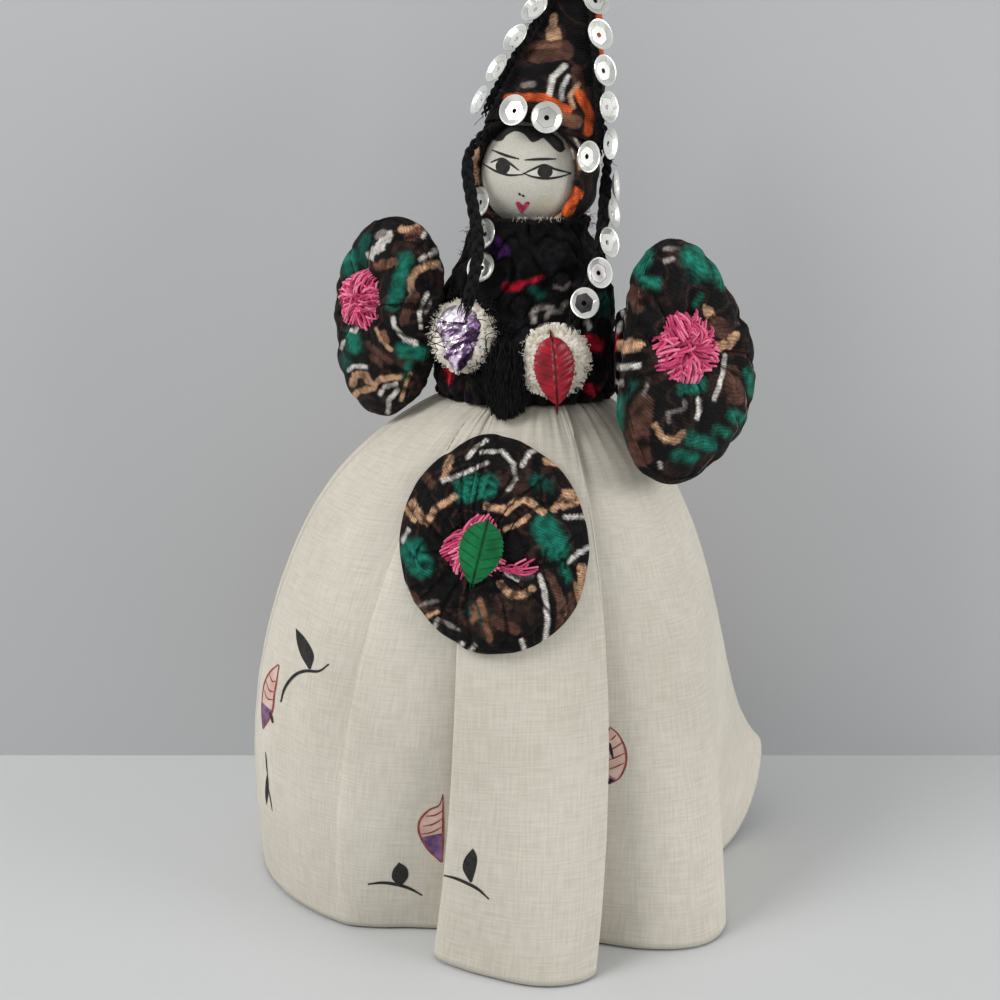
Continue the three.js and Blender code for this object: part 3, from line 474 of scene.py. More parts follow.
def print_marks(bm, marks, seed, ground=(BLACK, DARK_BROWN), bands=UNSEEN_BANDS, ragged=2.4):
    """Colours each point of a cloth: a mottled ground, then the marks in front and bands elsewhere, then
    painted shade in folds and painted highlight on ridges.
    """
    bm.normal_update()
    places = np.array([v.co for v in bm.verts])
    inward = np.array([v.normal.dot(v.co - EYE) for v in bm.verts])
    hidden = np.clip(inward / np.abs(inward).max() * 4 + 1, 0, 1)
    spots = [p / MM for p in places]

    def noise_at(scale, n):
        return np.array([ripple(*p, scale, n) for p in spots])

    quick = noise_at(FRAY, seed + 1) + 0.6 * noise_at(FINE_FRAY, seed + 2)
    colors = np.full((len(places), 3), ground[0])
    lay_color(colors, np.clip((noise_at(MOTTLE, seed) + 0.35 * quick - 0.22) / 0.3, 0, 1), ground[1])
    land = noise_at(BAND_SIZE, seed + 5) + 0.03 * quick
    for level, half, color in bands:
        lay_color(colors, np.clip((half - np.abs(land - level)) / BAND_EDGE, 0, 1) * hidden, color)
    curls = noise_at(CURL_SIZE, seed + 7) + 0.012 * quick
    for level, half, color in FAINT_BANDS if bands is UNSEEN_BANDS else ():
        inside = np.clip((half - np.abs(curls - level)) / BAND_EDGE, 0, 1)
        lay_color(colors, inside * (1 - hidden) * FAINT, color)
    pixels = pixels_of(places)
    for color, width, points in marks:
        near = from_line(pixels, points) + ragged * quick * min(1, width / FULL_FRAY_WIDTH)
        edge = WOOLLY_EDGE if color in (TEAL, DEEP_TEAL) else SOFT_EDGE
        lay_color(colors, np.clip((width / 2 - near) / edge + 0.5, 0, 1) * (inward < 0), color)
    clouds = noise_at(CLOUD_SIZE, seed + 8)
    # Random clouds vary the tone; a point deep in a fold is darkened as painted shade, and one on a ridge
    # lightened as painted highlight.
    colors *= np.clip(0.82 + 0.7 * clouds - 7 * hollows(bm), 0.15, 1.35)[:, None]
    layer = bm.verts.layers.float_color.new("print")
    for vert, color in zip(bm.verts, colors):
        vert[layer] = (*color, 1)
    return bm


print("prints are drawn in front of", list(EYE))

# %% [markdown]
# Thread, yarn and wool are curves with a round bevel. Hair particles would be lighter, but they are
# no mesh and are lost in an export. Each line of points is one strand. The curve becomes a mesh, and
# every strand keeps a tint of its own in an attribute, so that no two have quite the same colour.

# %% Thread from curves
luck = random.Random(11)
CURVE_STEPS = 24


def smooth_line(points, spacing=0.4):
    """Evenly spaced points on a smooth curve through the given points, all in millimetres."""
    knots = [Vector(p) for p in points]
    knots = [2 * knots[0] - knots[1], *knots, 2 * knots[-1] - knots[-2]]
    dense = []
    for a, b, c, d in zip(knots, knots[1:], knots[2:], knots[3:]):
        for k in range(CURVE_STEPS):
            s = k / CURVE_STEPS
            bend = (2 * a - 5 * b + 4 * c - d) * s * s + (3 * b - a - 3 * c + d) * s ** 3
            dense.append((2 * b + (c - a) * s + bend) / 2)
    dense = np.array([*dense, knots[-2]])
    run = np.concatenate([[0], np.cumsum(np.linalg.norm(np.diff(dense, axis=0), axis=1))])
    at = np.linspace(0, run[-1], max(3, round(run[-1] / spacing) + 1))
    return [Vector(p) for p in np.stack([np.interp(at, run, axis) for axis in dense.T], 1)]


def strand_curve(lines, thickness, fat, taper, lead):
    """A curve with a round bevel along each line of points in millimetres."""
    curve = bpy.data.curves.new("strands", "CURVE")
    curve.dimensions = "3D"
    curve.bevel_depth = thickness / 2 * MM
    curve.bevel_resolution = fat
    curve.use_fill_caps = True
    for line in lines:
        spline = curve.splines.new("POLY")
        spline.points.add(len(line) - 1)
        for k, point in enumerate(line):
            spline.points[k].co = (*(Vector(point) * MM), 1)
            spline.points[k].radius = lerp(1, taper, (k / (len(line) - 1)) ** 2)
            if k < lead:
                spline.points[k].radius *= lerp(0.35, 1, k / lead)
    return curve


def spin_threads(bm, lines, thickness, fat=1, taper=1.0, matrix=None, lead=0):
    """Adds round threads along lines of points in millimetres. fat is 0 for a fibre, 1 for a thread.
    They thin to taper at the end, and grow from a third over the first lead points."""
    curve = strand_curve(lines, thickness, fat, taper, lead)
    holder = bpy.data.objects.new("strands", curve)
    scene.collection.objects.link(holder)
    mesh = finished_mesh(holder)
    if matrix:
        mesh.transform(matrix)
    tint = bm.verts.layers.float.get("tint") or bm.verts.layers.float.new("tint")
    first = len(bm.verts)
    bm.from_mesh(mesh)
    bm.verts.ensure_lookup_table()
    sides = len(mesh.vertices) / sum(len(line) for line in lines)
    for line in lines:
        shade = luck.random()
        last = first + round(sides * len(line))
        for vert in bm.verts[first:last]:
            vert[tint] = shade
        first = last
    bpy.data.objects.remove(holder)
    bpy.data.curves.remove(curve)
    bpy.data.meshes.remove(mesh)
    return bm


print("a strand's curve has", CURVE_STEPS, "steps between two points")

# %% [markdown]
# Loose fibres stand out of every thread on the doll. Each runs from a root to a tip with two gentle
# waves of its own, which is enough to look unruly, because no two are alike.

# %% Loose fibres


def scatter(reach):
    """A random step of up to that reach along each axis."""
    return Vector([luck.uniform(-reach, reach) for _ in range(3)])


def fibres(count, root, tip, curl, points=6):
    """Loose fibres from root() to tip(root), each with a curl of its own, in millimetres."""
    lines = []
    for _ in range(count):
        start = Vector(root())
        end = Vector(tip(start))
        sway, swirl = scatter(curl), scatter(curl) * 0.6
        line = []
        for s in np.linspace(0, 1, points):
            wave = sway * math.sin(math.pi * s)
            line.append(start.lerp(end, s) + wave + swirl * math.sin(2 * math.pi * s))
        lines.append(line)
    return lines


def along(line, side):
    """Each point of a line, how far it has run, and two directions across it, the first square to side."""
    run = 0.0
    for k, point in enumerate(line):
        way = (line[min(k + 1, len(line) - 1)] - line[max(k - 1, 0)]).normalized()
        across = way.cross(Vector(side)).normalized()
        run += (point - line[k - 1]).length if k else 0
        yield point, run, across, across.cross(way)


# %% [markdown]
# Two black plaits hang from the temples. A plait is three strands that swing from side to side a
# third of a turn apart, and swing twice as fast from front to back. The route is the CAD cord's.

# %% Plaits
TRESS_ROUTES = {
    "left": [(-11.6, -5, 156.5), (-11.3, -7.6, 151.5), (-10.2, -10.6, 145.5), (-9.3, -13.6, 139.5),
             (-10, -15.8, 134), (-11.2, -17.2, 129)],
    "right": [(16, -1.5, 153), (15.7, -4.2, 148.4), (15, -8.5, 142.6), (14, -12.2, 136.6),
              (11.9, -15.2, 131.2), (9.3, -17.4, 126.1)]}
PLAIT_PITCH, PLAIT_SWING, PLAIT_STRAND = 8.0, 0.66, 1.28
END_FIBRES, END_LENGTH, END_FIBRE = 26, 4.2, 0.34


def plait(line):
    strands = [[], [], []]
    for point, run, across, out in along(line, (0, -1, 0)):
        swing = PLAIT_SWING * min(1, 0.3 + run / 4)
        for number, strand in enumerate(strands):
            a = TURN * (run / PLAIT_PITCH + number / 3)
            strand.append(point + (across * math.sin(a) + out * 0.6 * math.sin(2 * a)) * swing)
    return strands


def fanned_end(end, way):
    """The cut end of a plait, with its fibres fanned out."""
    def tip(p):
        return p + way * luck.uniform(0.5, 1) * END_LENGTH + scatter(1.1)
    return fibres(END_FIBRES, lambda: end - way * 1.2 + scatter(0.8), tip, 0.5)


plaits = {}
for side, route in TRESS_ROUTES.items():
    line = smooth_line(route, 0.3)
    length = sum((b - a).length for a, b in zip(line, line[1:]))
    bm = spin_threads(bmesh.new(), plait(line), PLAIT_STRAND, fat=2, lead=10)
    body = "tress_" + side
    piece = show("plait_" + side, bm, [BLACK_YARN], body, ["tress_" + side])
    end_lines = fanned_end(line[-1], (line[-1] - line[-3]).normalized())
    end_bm = spin_threads(bmesh.new(), end_lines, END_FIBRE, fat=0, taper=0.4)
    fray = show("plait_end_" + side, end_bm, [BLACK_YARN], body)
    plaits[side] = (piece, fray, [p * MM for p in line], length * MM)
    print("plait", side, "runs", round(length, 1), "mm")

# %% [markdown]
# Cup sequins are punched from bright film: a small hole, a flat six-sided floor, and a rim that rises
# round it. Each is built from a circle that is extruded outwards ring by ring, which keeps the
# corners of the floor sharp where a lathed curve would lose them.

# %% Cup sequins
SEQUIN_RADIUS, SEQUIN_HOLE, RIM_RISE, FILM = 3.0, 0.5, 0.55, 0.14
# Each ring outwards: its share of the radius, its rise, its sides when it isn't round, and its finish.
# The second ring's narrow strip takes finish 2, a darker film that is painted shade in the crease between
# floor and rim.
SEQUIN_RINGS = [(0.67, 0, 6, 0), (0.715, 0.04, 6, 2), (0.93, RIM_RISE, 0, 0), (1.0, RIM_RISE + 0.06, 0, 0)]
SIDE_ANGLE = math.pi / 3

silver = Dye("silver_film", 0.3, Metallic=0.7)
cloudy = silver.ramp(silver.noise(120, 2), [(0.3, (0.55, 0.55, 0.51)), (0.5, (0.80, 0.80, 0.75)),
                                            (0.7, (0.95, 0.95, 0.92))])
SILVER = silver.color(cloudy).material
# The film of that strip is dark: painted shade where the floor meets the rim.
SILVER_CREASE_SHADE = Dye("silver_film_crease", 0.4, Metallic=0.8).color((0.30, 0.30, 0.28)).material
# The dark floors' film is a painted reflection of dark cloth.
shaded = Dye("silver_film_shaded", 0.15, Metallic=1.0)
painted_dark_reflection = shaded.fade(shaded.noise(300, 2), (0.05, 0.045, 0.045), (0.16, 0.15, 0.15))
SILVER_SHADED = shaded.color(painted_dark_reflection).material


def cup_sequin(turn):
    bm = bmesh.new()
    bmesh.ops.create_circle(bm, segments=24, radius=SEQUIN_HOLE * MM)
    edges = list(bm.edges)
    for share, rise, sides, finish in SEQUIN_RINGS:
        grown = bmesh.ops.extrude_edge_only(bm, edges=edges)["geom"]
        edges = [e for e in grown if isinstance(e, bmesh.types.BMEdge) and e.is_boundary
                 and all(v in grown for v in e.verts)]
        for face in (f for f in grown if isinstance(f, bmesh.types.BMFace)):
            face.material_index = finish
        for vert in {v for e in edges for v in e.verts}:
            angle = math.atan2(vert.co.y, vert.co.x)
            reach = SEQUIN_RADIUS * share
            if sides:
                reach *= math.cos(SIDE_ANGLE / 2) / math.cos((angle + turn) % SIDE_ANGLE - SIDE_ANGLE / 2)
            vert.co = mm(reach * math.cos(angle), reach * math.sin(angle), rise)
    bmesh.ops.recalc_face_normals(bm, faces=bm.faces)
    bmesh.ops.solidify(bm, geom=list(bm.faces), thickness=FILM * MM)
    return bm


print("sequins of", SILVER.name, SILVER_SHADED.name, "and", SILVER_CREASE_SHADE.name)

# %% [markdown]
# Each sequin then takes the place and slant of its CAD node, which a fit to the node's own points gives.
# Those of the left plait show their backs, and the two lowest of the right one have dark floors: a dark
# mirror film, a painted reflection of the dark cloth round them.

# %% Sequins in their places
RIM_FROM, FLOOR_TO = 2.6, 2.2
FLOOR_SHARE = 0.7
SEQUIN_TURN = 0.7
DARK_SEQUINS = ("sequin_tress_right_1", "sequin_tress_right_2")


def seat_of(node):
    """The seat of a CAD sequin: its middle, with +Z out of the cup."""
    points = np.array([node.matrix_world @ v.co for v in node.data.vertices])
    middle = (points.min(0) + points.max(0)) / 2
    normal = np.linalg.svd(points - points.mean(0), full_matrices=False)[2][2]
    height = (points - middle) @ normal
    from_axis = np.linalg.norm(points - middle - np.outer(height, normal), axis=1)
    if height[from_axis > RIM_FROM * MM].mean() < height[from_axis < FLOOR_TO * MM].mean():
        normal, height = -normal, -height
    return seat_on(Vector(middle + normal * height.min()), Vector(normal), Vector((0.05, 0.1, 1)))


for number, name in enumerate(sorted(n for n in nodes if n.startswith("sequin_"))):
    bm = cup_sequin(number * SEQUIN_TURN)
    seat = seat_of(nodes[name])
    if name.startswith("sequin_tress_left"):
        seat = seat @ Matrix.Translation(mm(0, 0, RIM_RISE + FILM)) @ turned(180, "X")
    bmesh.ops.transform(bm, matrix=seat, verts=bm.verts)
    # These floors take the dark film: a painted reflection.
    for face in bm.faces if name in DARK_SEQUINS else ():
        from_hole = face.calc_center_median() - seat.translation
        if from_hole.length < FLOOR_SHARE * SEQUIN_RADIUS * MM:
            face.material_index = 1
    where = name.replace("sequin_", "")
    body = "tress_" + where.split("_")[1] if where.startswith("tress") else "head"
    films = [SILVER, SILVER_SHADED, SILVER_CREASE_SHADE]
    show("cup_" + where, bm, films, body, [name], smooth=False)

for side, (piece, fray, line, length) in plaits.items():
    tuple(line[0])
    [tuple(p) for p in line]

# %% [markdown]
# The skirt is one wide piece of calico, pleated at the waist over a rag core. A cloth simulation
# would drop it into folds of its own choice, and the photograph shows these ones. The front panel lies
# on top at both edges, so the cloth doubles back under it: its outline, seen from above, is a closed
# spline whose bearing runs forwards, back and forwards again at each pleat.

# %% Pleats of the skirt
# Each pleat point: its bearing at the waist, halfway and at the hem, then how far it lies out of the bell.
PLEATS = [
    (-98, -98, -98, 0, 1, -1), (-84, -84, -84, -0.3, 0.5, -3.5), (-72, -70, -68, 0, 0, -5),
    (-60, -61, -62, -1.2, -1.5, -5.5), (-62, -62, -61, -0.6, -0.8, -5.5), (-54, -55, -56, 0, 0, -6),
    (-46, -48, -50, -0.4, -0.6, -6.3), (-33, -39, -46, -1.6, -2.2, -6.6),
    (-39, -42, -45, -0.8, -0.8, -6.6), (-31, -36, -42, 0, 0, -6.8), (-27, -24, -34, -0.6, -1.2, -9.5),
    (-24, -17, -24, -1.2, -2.5, -12.5), (-14, -3, -7, -1.8, -3.6, -12.5), (-15, -3, -8, -1.6, -2.6, -8),
    (-22.5, -10.5, -14.5, -0.9, -1, -5), (-23, -11, -15, -0.4, -0.2, -3), (-19, -7, -11, 0, 0.4, -0.5),
    (0, 4, 2, 0, 0.8, 3.5), (14, 15, 11, 0, 1.2, 7.5), (27, 26, 19, 0, 0.8, 8.2),
    (35.5, 32.5, 24.5, -0.3, 0, 6.5), (37, 34, 26, -0.7, -0.8, 4.5), (30, 27, 19, -1.2, -2.4, -2),
    (28, 25, 16, -2, -4.2, -7), (38, 36, 28, -2.2, -4.6, -8), (46, 45, 40, -1, -2, 2.5),
    (54, 53, 50, 0, 1, 9), (62, 61, 59, 0, 1.5, 7.5), (70, 70, 70, -0.6, -1.5, -2),
    (80, 80, 82, -0.6, -2, -7), (92, 94, 96, -0.3, 0, 3), (104, 106, 109, 0, 3, 21),
    (116, 118, 121, -0.3, 0, 3), (130, 130, 130, -0.6, -2, -5), (150, 150, 150, 0, 0.8, 3),
    (169, 169, 169, -0.6, -2, -5), (188, 188, 188, 0, 0.5, 1), (207, 207, 207, -0.6, -2, -6),
    (226, 226, 226, 0, 0.8, 2.5), (244, 244, 244, -0.6, -2, -4.5)]
PLEAT_TABLE = np.array(PLEATS, dtype=float)


def pleat_at(u, t):
    """The cloth's bearing and how far out of the bell it lies, at share u of its width and t of its drop."""
    count = len(PLEATS)
    k, s = int(u * count), u * count - int(u * count)
    weights = ((1 - s) ** 3 / 6, (3 * s ** 3 - 6 * s * s + 4) / 6,
               (1 + 3 * s + 3 * s * s - 3 * s ** 3) / 6, s ** 3 / 6)
    levels = np.array(((1 - t) * (1 - 2 * t), 4 * t * (1 - t), t * (2 * t - 1)))
    bearing = fold = 0.0
    for j, weight in enumerate(weights):
        row = PLEAT_TABLE[(k + j) % count]
        bearing += weight * (float(row[:3] @ levels) + (k + j) // count * 360)
        fold += weight * float(row[3:] @ levels)
    return bearing, fold


print("the skirt's outline has", len(PLEATS), "points")

# %% [markdown]
# Between waist and hem the skirt is a bell. Fine gathers stand under the waist thread, broad ones fade
# towards the hem, the sides swell where the pleats push them out, and one fold lifts off the table at
# the right like a tail. The UV map is stretched to the run of the cloth at knee height.

# %% Skirt
WAIST_HEIGHT, SKIRT_DROP = 108.0, 107.4
WAIST, HEM, HEM_SHIFT = (30.0, 22.0), (108.0, 90.0), -8.0
BELL_POWER = 0.68
TAIL_BEARING, TAIL_SPREAD, TAIL_LIFT = 109.0, 9.0, 18.0
FINE_GATHER, BROAD_GATHER = 0.35, 1.1
CRUMPLE, FINE_CRUMPLE = 0.45, 0.14
# How much each side swells out of the bell, at which share of the drop it does most, and how steeply.
SIDE_SWELL = {"left": (3.4, 0.2, 1.5), "right": (3.4, 0.35, 1.2)}
# The cloth's run from waist to hem in metres, the spare cloth in its seams, its thickness, its grid.
CLOTH_RUN, SEAM_SHARE, CALICO_THICK, SKIRT_GRID = 0.118, 1.02, 0.45, (396, 84)
KNEE, KNEE_POINTS = 0.25, 801


def skirt_point(u, v):
    t = 1 - v
    z = WAIST_HEIGHT - SKIRT_DROP * t
    bearing, fold = pleat_at(u, t)
    swell = math.sin(math.pi / 2 * t ** BELL_POWER)
    a, b = (lerp(waist, hem, swell) / 2 for waist, hem in zip(WAIST, HEM))
    angle = math.radians(bearing)
    x, y = math.sin(angle), -math.cos(angle)
    bell = 1 / math.hypot(x / a, y / b)
    gathers = FINE_GATHER * math.sin(u * 310 + 2.2 * ripple(u * 900, z, 0, 11)) * math.exp(-t * 16)
    broad = ripple(bearing * 0.3, z * 0.06, 4, 5.5, 14)
    gathers += BROAD_GATHER * broad * math.exp(-t * 2.2) * min(1, 8 * t)
    crumple = CRUMPLE * ripple(bell * x, bell * y, z * 0.35, 15, 2)
    crumple += FINE_CRUMPLE * ripple(bell * x, bell * y, z, 4.5, 5)
    most, peak, steep = SIDE_SWELL["left" if x < 0 else "right"]
    side = most * (t / peak) ** steep * math.exp(steep * (1 - t / peak)) * x * x
    r = bell + side + fold + gathers + crumple * t ** 0.5
    tail = math.exp(-((bearing % 360 - TAIL_BEARING) / TAIL_SPREAD) ** 2)
    rise = TAIL_LIFT * tail * max(0, 2 * t - 1) ** 2
    return mm(HEM_SHIFT * swell + r * x, r * y, z + rise)


knee_shares = np.linspace(0, 1, KNEE_POINTS)
knee = [skirt_point(u, KNEE) for u in knee_shares]
knee_run = np.concatenate([[0], np.cumsum([(b - a).length for a, b in zip(knee, knee[1:])])])
skirt_bm = cloth_grid(*SKIRT_GRID, skirt_point, (1, CLOTH_RUN))
skirt_weave = skirt_bm.loops.layers.uv["Weave"]
for face in skirt_bm.faces:
    for loop in face.loops:
        u, v = loop[skirt_weave].uv
        loop[skirt_weave].uv = (float(np.interp(u, knee_shares, knee_run)), v)
skirt_area = sum(f.calc_area() for f in skirt_bm.faces)
skirt = show("calico_skirt", skirt_bm, [CALICO], "torso", ["skirt"])
thicken(skirt, CALICO_THICK)
print("skirt cloth:", round(skirt_area * 1e6), "mm2,", round(float(knee_run[-1]), 3), "m round the knee")

# %% [markdown]
# The bodice is a stuffed tube of the floral cloth, drawn in at the neck to a soft cowl. Its radius
# follows a table of stations from waist to neck. Low folds run round the cowl, gathers stand up
# from the waist, and the top edge rolls over and goes back down inside.

# %% Bodice
BODICE_FOOT, BODICE_TOP, BODICE_LEAN = 107.5, 143.0, 1.5
# Each station: its share of the height, and half the width and depth there.
BODICE_STATIONS = np.array([(0, 18.6, 14.4), (0.08, 19.4, 15.3), (0.3, 19.1, 15.1), (0.62, 17.5, 13.5),
                            (0.75, 15.6, 13.2), (0.86, 13.2, 12.6), (0.95, 12.5, 12.3), (1, 11.9, 11.9)])
ROLL, ROLL_FROM, ROLL_DEEP = 0.9, 0.84, 4.5
SOOT = (0.016, 0.014, 0.018)
BODICE_BANDS = [(-0.42, 0.06, CHERRY), (0.40, 0.05, PURPLE), (0.52, 0.05, DEEP_TEAL)]
BODICE_MARKS = [
    (PURPLE, 14, [(490, 240), (503, 252)]), (CHERRY, 9, [(506, 287), (518, 286)]),
    (CHERRY, 5, [(516, 285), (530, 281), (543, 277)]), (DEEP_TEAL, 12, [(604, 299), (606, 309)]),
    (DEEP_TEAL, 8, [(535, 291), (540, 295)]), (GREY, 5, [(534, 321), (532, 312), (541, 307), (552, 308)]),
    (GREY, 5, [(546, 318), (551, 311), (560, 311), (566, 303)]),
    (GREY, 4, [(555, 287), (563, 289), (571, 284)]), (GREY, 4, [(541, 327), (552, 325)]),
    (CHERRY, 16, [(589, 342), (597, 345)]), (CHERRY, 10, [(588, 388), (594, 390)]),
    (CHERRY, 9, [(447, 370), (448, 380)]), (WHITE, 4.5, [(587, 322), (590, 327)]),
    (DARK_BROWN, 9, [(457, 384), (466, 386)])]


def bodice_point(u, v, proud=0.0):
    angle = TURN * u
    at = min(1, v / ROLL_FROM)
    a, b = (float(np.interp(at, BODICE_STATIONS[:, 0], BODICE_STATIONS[:, k])) for k in (1, 2))
    z = lerp(BODICE_FOOT, BODICE_TOP, at)
    inward = 0.0
    if v > ROLL_FROM:
        over = (v - ROLL_FROM) / (1 - ROLL_FROM)
        half_turn = min(1, over / 0.5) * math.pi
        inward = ROLL * (1 - math.cos(half_turn)) / 2 * 1.6
        z += ROLL * math.sin(half_turn) - ROLL_DEEP * max(0, over - 0.5) * 2
    x, y = math.sin(angle), -math.cos(angle)
    bend = 4.5 * ripple(14 * x, 14 * y, z * 0.5, 9, 3)
    cowl = max(0, at - 0.5) * 2 * 0.7 * math.sin(at * 24 + bend + 1.4 * x)
    aside, ahead = 18 * x, 18 * y
    gathers = 0.4 * math.cos(34 * angle + 3 * ripple(aside, ahead, z, 8, 4)) * max(0, 1 - at * 3.2)
    drape = 0.8 * ripple(aside, ahead, z * 0.8, 7.5, 6) + 0.35 * ripple(aside, ahead, z, 2.6, 8)
    drape -= 1.1 * max(0, 0.3 - abs(ripple(aside, ahead, z, 6, 13))) / 0.3
    grow = cowl + gathers + drape * (1 if v < ROLL_FROM else 0.5) - inward + proud
    return mm(BODICE_LEAN * at + (a + grow) * x, (b + grow) * y, z)


bodice_bm = cloth_grid(224, 96, bodice_point, (0.105, 0.05))
print_marks(bodice_bm, BODICE_MARKS, 31, (BLACK, SOOT), BODICE_BANDS, 2.6)
bodice = show("floral_bodice", bodice_bm, [FLORAL], "torso", ["bodice"])
thicken(bodice, 0.5)

# %% [markdown]
# Worn black cloth sheds lint, so short fibres stand on the bodice's front, away from where arms and
# plaits move over it. Under the chin the muslin's raw edge shows as three white tufts.

# %% Lint and fray
LINT_TRIES, LINT_MIDDLE, LINT_HALF = 760, 1, 14
FRAY_TUFTS, FRAY_FIBRES = (-0.9, 2.2, 5.4), 42

lint_lines = []
for _ in range(LINT_TRIES):
    u, v = luck.random(), luck.uniform(0.03, 0.93)
    root = bodice_point(u, v) / MM
    if abs(root.x - LINT_MIDDLE) > LINT_HALF:
        continue
    out = (bodice_point(u, v, 1) / MM - root).normalized()
    drift = scatter(1.3)
    lint_lines += fibres(1, lambda: root, lambda p: p + out * luck.uniform(0.4, 1.3) + drift, 0.5, 5)
lint_bm = spin_threads(bmesh.new(), lint_lines, 0.13, fat=0, taper=0.5)
show("bodice_lint", lint_bm, [BLACK_YARN], "torso")

fray_lines = []
for k in range(FRAY_FIBRES):
    x = FRAY_TUFTS[k % len(FRAY_TUFTS)] + luck.gauss(0, 0.75)
    root = Vector((x, -10.6 + 0.03 * (x - 2) ** 2, 144.3))
    drop = Vector((luck.uniform(-0.7, 0.7), luck.uniform(-1.2, -0.5), luck.uniform(-1.1, 0.1)))
    fray_lines += fibres(1, lambda: root, lambda p: p + drop, 0.25, 4)
fray_bm = spin_threads(bmesh.new(), fray_lines, 0.09, fat=0, taper=0.4)
show("collar_fray", fray_bm, [MUSLIN], "torso")

# %% [markdown]
# The head is a ball of wadding under white muslin, a little taller than wide, and dented a little by
# hand. A sphere would do, but a grid wrapped round it keeps the weave's true size.

# %% Head
HEAD_HALF = (10.6, 10.6, 11.6)


def head_point(u, v):
    angle, height = TURN * u, math.pi * (v - 0.5)
    ball = (math.cos(height) * math.sin(angle), -math.cos(height) * math.cos(angle), math.sin(height))
    dent = 0.1 * ripple(*(c * 10 for c in ball), 6, 1)
    return HEAD_SEAT @ mm(*((half + dent) * c for half, c in zip(HEAD_HALF, ball)))


head_bm = cloth_grid(72, 48, head_point, (0.067, 0.036))
head = show("muslin_head", head_bm, [MUSLIN], "head", ["head_ball"])

# %% [markdown]
# The scarf goes round the head: a sheet that starts inside against the cheek, rolls over a soft rim
# round the face, and closes at the back. The neck leaves through a hole in its underside.

# %% Scarf
SCARF_SEAT = HEAD_SEAT @ turned(-8, "Z")
# The scarf's section from the cheek to the back: how far out and how far back, in millimetres.
SCARF_SECTION = [(9.5, -3.6), (9.8, -5.3), (10.2, -6.5), (10.9, -7.1), (11.7, -6.3), (12.6, -3.6),
                 (13.05, 0), (12.5, 3.8), (10.6, 7.6), (7.4, 10.8), (3.6, 12.6), (0, 13.1)]
SCARF_PATH = smooth_line([(out, back, 0) for out, back in SCARF_SECTION], 0.1)
NECK_HOLE = 6.4
SCARF_MARKS = [
    (TAN, 8, [(475, 147), (474, 165), (476, 182)]), (BROWN, 13, [(574, 138), (580, 168)]),
    (WHITE, 3, [(575, 138), (579, 147)]), (WHITE, 3, [(571, 150), (573, 158)]),
    (TAN, 4, [(579, 158), (580, 168)]), (ORANGE, 14, [(575, 194), (567, 209)]),
    (DARK_BROWN, 13, [(589, 150), (593, 188)]), (BROWN, 5, [(483, 205), (492, 215)]),
    (TAN, 3, [(560, 214), (553, 220)])]


def scarf_point(u, v):
    angle = TURN * u
    spot = SCARF_PATH[min(len(SCARF_PATH) - 1, round(v * (len(SCARF_PATH) - 1)))]
    rim = max(0, 1 - v * 2.4)
    x, z = math.sin(angle), math.cos(angle)
    closing = min(1, 4 * (1 - v))
    pleats = math.sin(angle * 11 + 2.4 * ripple(12 * x, 12 * z, spot.y, 7, 9))
    fold = 0.3 * pleats * min(1, 6 * v) * closing
    fold += 0.4 * ripple(12 * x, spot.y, 12 * z, 6, 2) * closing
    out = spot.x + (fold if v > 0.08 else 0)
    return SCARF_SEAT @ mm(out * (1 - 0.03 * rim) * x, spot.y - 0.25 * fold, out * (1 + 0.035 * rim) * z)


scarf_bm = cloth_grid(150, 110, scarf_point, (0.082, 0.034))
into_head = HEAD_SEAT.inverted()
under_chin = []
for face in scarf_bm.faces:
    spot = into_head @ face.calc_center_median()
    if spot.z < 0 and math.hypot(spot.x, spot.y) < NECK_HOLE * MM:
        under_chin.append(face)
bmesh.ops.delete(scarf_bm, geom=under_chin, context="FACES")
bmesh.ops.recalc_face_normals(scarf_bm, faces=scarf_bm.faces)
print_marks(scarf_bm, SCARF_MARKS, 41)
scarf = show("face_scarf", scarf_bm, [PATTERNED], "head", ["headscarf"])
thicken(scarf, 0.35)

# %% [markdown]
# The hat is a tall cone of the patterned cloth, stuffed so that it stands, and it leans back and to
# the side. It is a loft that starts inside the brim, turns out round it, and closes at the tip.

# %% Hat
HAT_RADIUS, BRIM_HEIGHT, HAT_TIP = 11.9, 7.5, 48.0
# The hat's outline: shares of its height and of its radius.
HAT_PROFILE = np.array([(0, 1), (0.06, 0.978), (0.13, 0.94), (0.24, 0.865), (0.36, 0.77), (0.48, 0.655),
                        (0.605, 0.52), (0.7, 0.405), (0.79, 0.3), (0.87, 0.23), (0.94, 0.18),
                        (0.975, 0.125), (1, 0)])
BRIM_TURN, BRIM_THICK, BRIM_DEEP = 0.07, 1.0, 2.2
HAT_MARKS = [
    (TAN, 8, [(554, 17), (553, 28)]), (TAN, 15, [(553, 32), (554, 37)]),
    (BROWN, 23, [(538, 52), (562, 51)]), (RUSSET, 5, [(533, 47), (560, 45)]),
    (BROWN, 11, [(577, 71), (579, 91)]), (BLACK, 12, [(515, 74), (540, 70), (564, 65)]),
    (WHITE, 6, [(564.5, 66), (553, 76.5), (549, 96)]),
    (WHITE, 4.5, [(568, 76.5), (561.7, 90), (561.7, 99.5)]), (TAN, 5, [(579, 84), (570, 96), (573, 107)]),
    (GREY, 6, [(524, 85), (533, 84)]), (ORANGE, 8, [(507, 98), (520, 97), (545, 97.5), (568, 110)]),
    (RUSSET, 13, [(560, 118), (576, 122)]), (ORANGE, 9, [(579, 93), (590, 115), (588, 132)]),
    (ORANGE, 10, [(600, 18), (604, 58)]), (DARK_BROWN, 9, [(595, 62), (600, 90)]),
    (DARK_BROWN, 8, [(525, 112), (545, 111)])]


def hat_radius(share):
    return HAT_RADIUS * float(np.interp(share, HAT_PROFILE[:, 0], HAT_PROFILE[:, 1]))


